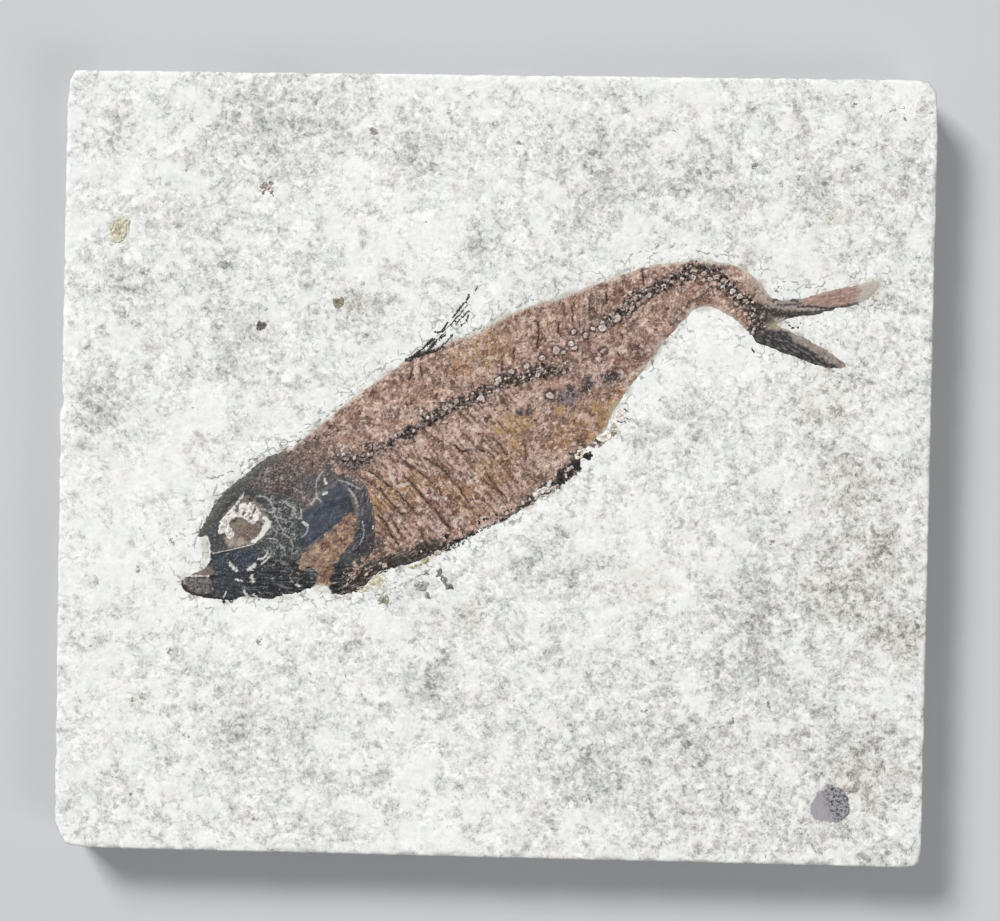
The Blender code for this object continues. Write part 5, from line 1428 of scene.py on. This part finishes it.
def chip_tree(name, material):
    """A rough lump or dished grain at each of the guide's points, sized and turned by it."""
    tree, given = new_tree(name, ["Roughness", "Dish"])
    long, wide, thick, turn = (
        add(tree, "GeometryNodeInputNamedAttribute", {"Name": word})
        for word in ("long", "wide", "thick", "turn"))
    ball = add(tree, "GeometryNodeMeshIcoSphere", {"Radius": 0.5, "Subdivisions": 3})
    here = add(tree, "SeparateXYZ", {0: add(tree, "GeometryNodeInputPosition")})
    outward = 0.0
    for part in here.outputs[:2]:
        outward = add(tree, "Math", {0: part, 1: part, 2: outward}, operation="MULTIPLY_ADD")
    hollow = add(tree, "MapRange", {0: outward, 1: 0.1, 2: 0.0}, **SOFT).outputs[0]
    down = add(tree, "Math", {0: hollow, 1: given.outputs["Dish"]}, operation="MULTIPLY")
    down = add(tree, "Math", {0: down, 1: -1.0}, operation="MULTIPLY")
    upper = add(tree, "FunctionNodeCompare", {0: here.outputs[2], 1: 0.0},
                operation="GREATER_THAN")
    dish = add(tree, "GeometryNodeSetPosition", {
        "Geometry": ball, "Offset": add(tree, "CombineXYZ", {2: down}), "Selection": upper})
    marked = add(tree, "GeometryNodeStoreNamedAttribute", {
        "Geometry": dish, "Name": "hollow", "Value": hollow}, data_type="FLOAT", domain="POINT")
    set_out = add(tree, "GeometryNodeInstanceOnPoints", {
        "Points": given.outputs["Geometry"], "Instance": marked,
        "Rotation": add(tree, "CombineXYZ", {2: turn}),
        "Scale": add(tree, "CombineXYZ", {0: long, 1: wide, 2: thick})})
    real = add(tree, "GeometryNodeRealizeInstances", {0: set_out})
    broken = add(tree, "GeometryNodeSetPosition", {
        "Geometry": real, "Offset": shake(tree, 0.45, given.outputs["Roughness"])})
    return close_tree(tree, broken, material)


def chips_mesh(name, rows, height, thick, colours):
    """A guide with one point for each chip, which says its size, turn and colour."""
    rows = np.array(rows, float)
    mesh = bpy.data.meshes.new(name)
    mesh.from_pydata((np.column_stack([rows[:, :2], height(rows[:, :2])]) * MM).tolist(), [], [])
    note(mesh, colours, long=rows[:, 2] * MM, wide=rows[:, 3] * MM, turn=np.radians(rows[:, 4]),
         thick=np.minimum(rows[:, 3], 0.7) * thick * MM)
    return mesh


def chip_material(name, roughness=0.5):
    """Each chip's own colour, darker in its hollow and finely mottled."""
    material, tree, shader, place = start_material(name, roughness)
    look = add(tree, "Attribute", attribute_name="paint").outputs["Color"]
    hollow = add(tree, "Attribute", attribute_name="hollow").outputs["Fac"]
    grit = add(tree, "TexNoise", {"Vector": place, "Scale": per_mm(0.35), "Detail": 3.0,
                                  "Roughness": 0.8})
    mottle = add(tree, "MapRange", {0: grit, 1: 0.55, 2: 0.35}, **SOFT)
    for cover, hexa in ((mottle, "CCC6C0"), (hollow, "DDD3CC")):
        look = add(tree, "Mix", {0: cover, 6: look, 7: colour(hexa)}, **TINT).outputs[2]
    tree.links.new(look, shader.inputs["Base Color"])
    return material


def film_and_stone(spots):
    """Height of whatever shows: film inside the fish, stone outside it."""
    return np.maximum(slab_top(spots), skin_top(spots))


def set_chips():
    """Vertebra pearls along the backbone; bone shards and mineral crumbs at the belly."""
    # Vertebrae: chalky, worn spool ends, each a ring round a hollow.
    chalk = chip_material("chalky_vertebrae")
    tints = np.array([srgb(("D6CAC2", "C9BBB1", "E2D8D0")[k % 3]) for k in range(len(PEARLS))])
    guide = chips_mesh("pearls", PEARLS, skin_top, 0.55, tints)
    grown("vertebrae", guide, chip_tree("vertebrae", chalk), chalk, Roughness=0.5 * MM,
          Dish=0.15)
    # Crushed vertebra ends: dull chalk with brown grains, a pale grain along the backbone.
    beads = plain_bone("small_pale_beads", "8F8077", "D6CAC1")
    grown("stalk_beads", lines_mesh("beads", [(STALK_BAND, 0.8), (BONE_BAND, 0.8)], skin_top, 0.2),
          crumb_line_tree("stalk_beads", beads), beads,
          Spacing=0.38 * MM, Size=0.17 * MM)
    guide = chips_mesh("eye_lumps", EYE_LUMPS, head_top, 0.5,
                       np.tile(srgb("F2EFEB"), (len(EYE_LUMPS), 1)))
    grown("eye_chalk", guide, chip_tree("eye_chalk", chalk), chalk, Roughness=0.8 * MM,
          Dish=0.0)
    # Scutes of the keel and crumbs of calcite: enamel-hard chips, which catch small glints.
    glossy = chip_material("scute_shards", 0.35)
    tints = np.array([srgb(row[5]) for row in SHARDS])
    guide = chips_mesh("shards", [row[:5] for row in SHARDS], film_and_stone, 0.45, tints)
    grown("shards", guide, chip_tree("shards", glossy), glossy, Roughness=1.0 * MM,
          Dish=0.0)


def crumb_line_tree(name, material):
    """Crumbs strung along the guide's lines, scattered to either side."""
    tree, given = new_tree(name, ["Spacing", "Size"])
    line = add(tree, "GeometryNodeMeshToCurve", {0: given.outputs["Geometry"]})
    dots = add(tree, "GeometryNodeCurveToPoints", {
        "Curve": line, "Length": given.outputs["Spacing"]}, mode="LENGTH")
    wide = add(tree, "GeometryNodeInputNamedAttribute", {"Name": "wide"})
    throw, spin = (
        add(tree, "FunctionNodeRandomValue", {"Min": least, "Max": most, "Seed": seed},
            data_type="FLOAT_VECTOR")
        for least, most, seed in (((-1, -1, -0.3), (1, 1, 0.3), 2),
                                  ((-0.3, -0.3, 0.3), (0.3, 0.3, 1.3), 5)))
    aside = add(tree, "VectorMath", {0: throw, "Scale": wide}, operation="SCALE")
    spread = add(tree, "GeometryNodeSetPosition", {"Geometry": dots, "Offset": aside})
    chance = add(tree, "FunctionNodeRandomValue", {"Min": 0.5, "Max": 1.3, "Seed": 3},
                 data_type="FLOAT").outputs[1]
    size = add(tree, "Math", {0: chance, 1: given.outputs["Size"]}, operation="MULTIPLY")
    long, thick = (add(tree, "Math", {0: size, 1: share}, operation="MULTIPLY")
                   for share in (1.5, 0.6))
    ball = add(tree, "GeometryNodeMeshIcoSphere", {"Radius": 1.0, "Subdivisions": 1})
    set_out = add(tree, "GeometryNodeInstanceOnPoints", {
        "Points": spread, "Instance": ball, "Rotation": spin,
        "Scale": add(tree, "CombineXYZ", {0: long, 1: size, 2: thick})})
    return close_tree(tree, set_out, material)


def back_fin():
    """The back fin: rays fallen to black crumbs on the bare stone."""
    # Fin rays fallen to crumbs: black glossy bone, grey where worn, peppered over the stone.
    bone = plain_bone("black_ray_crumbs", "262323", "66605C", 0.4)
    guide = lines_mesh("crumbled_rays", FIN_RAYS + BELLY_CRUMBS, film_and_stone, 0.15)
    grown("ray_crumbs", guide, crumb_line_tree("ray_crumbs", bone), bone,
          Spacing=0.06 * MM, Size=0.08 * MM)
    guide = lines_mesh("rays", FIN_BONES, slab_top, 0.15)
    grown("back_fin_rays", guide, rod_tree("rays", bone), bone, Crooked=0.35 * MM)


def hairlines():
    """Fine cracks healed with grey calcite, which stand a hair above the stone."""
    # Calcite grown in the cracks: pale grey and matt, barely darker than the stone.
    calcite = plain_bone("crack_calcite", "BFC1BE", "DADCD9", 0.8)
    guide = lines_mesh("cracks", CRACKS, slab_top)
    grown("stone_cracks", guide, rod_tree("cracks", calcite), calcite, "limestone_slab",
          "limestone", Crooked=1.2 * MM)


# ---------------------------------------------------------------- studio

def area_light(name, place, aim, size, power):
    """A soft square lamp at a place, turned to shine at the aim."""
    lamp = bpy.data.lights.new(name, "AREA")
    lamp.size, lamp.energy = size, power
    holder = bpy.data.objects.new(name, lamp)
    holder.location = place
    way = np.array(aim) - np.array(place)
    holder.rotation_euler = (math.acos(-way[2] / np.linalg.norm(way)), 0,
                             math.atan2(way[1], way[0]) - math.pi / 2)
    bpy.context.collection.objects.link(holder)


def studio():
    """Pale floor and soft light from the upper left."""
    bpy.context.scene.view_settings.view_transform = "Standard"
    world = bpy.data.worlds.new("studio")
    bpy.context.scene.world = world
    world.use_nodes = True
    world.node_tree.nodes["Background"].inputs["Color"].default_value = colour("F2F3F5")
    world.node_tree.nodes["Background"].inputs["Strength"].default_value = 0.28
    area_light("key", (-1.36, 1.52, 2.08), (0, 0, 0), 0.88, 75.0)
    area_light("fill", (0.40, -0.30, 0.60), (0, 0, 0), 0.40, 1.3)
    floor = make_piece("floor", [(-3000, -3000, 0), (3000, -3000, 0), (3000, 3000, 0),
                                 (-3000, 3000, 0)], [(0, 1, 2, 3)])
    # Matt pale paper, which only catches the slab's shadow.
    material, _, shader, _ = start_material("pale_paper", 0.95)
    shader.inputs["Base Color"].default_value = colour("C9CACD")
    floor.data.materials.append(material)


def camera():
    """A camera looking straight down, turned a little, so that the slab fills the frame."""
    turn = math.radians(1.4)
    frame_width, aim, lens = 0.13041, (0.000706, 0.000403), 100.0
    data = bpy.data.cameras.new("camera")
    data.lens, data.sensor_width = lens, 36.0
    data.clip_start = 0.01
    holder = bpy.data.objects.new("camera", data)
    holder.location = (*aim, 0.0096 + frame_width * lens / data.sensor_width)
    holder.rotation_euler = (0, 0, turn)
    bpy.context.collection.objects.link(holder)
    bpy.context.scene.camera = holder


camera()
studio()
stone_slab()
film_flat, film_faces, film_paint = fish_skin()
fish_head()
skin_flakes(film_flat, film_faces, film_paint)
thin_bones()
set_chips()
back_fin()
hairlines()
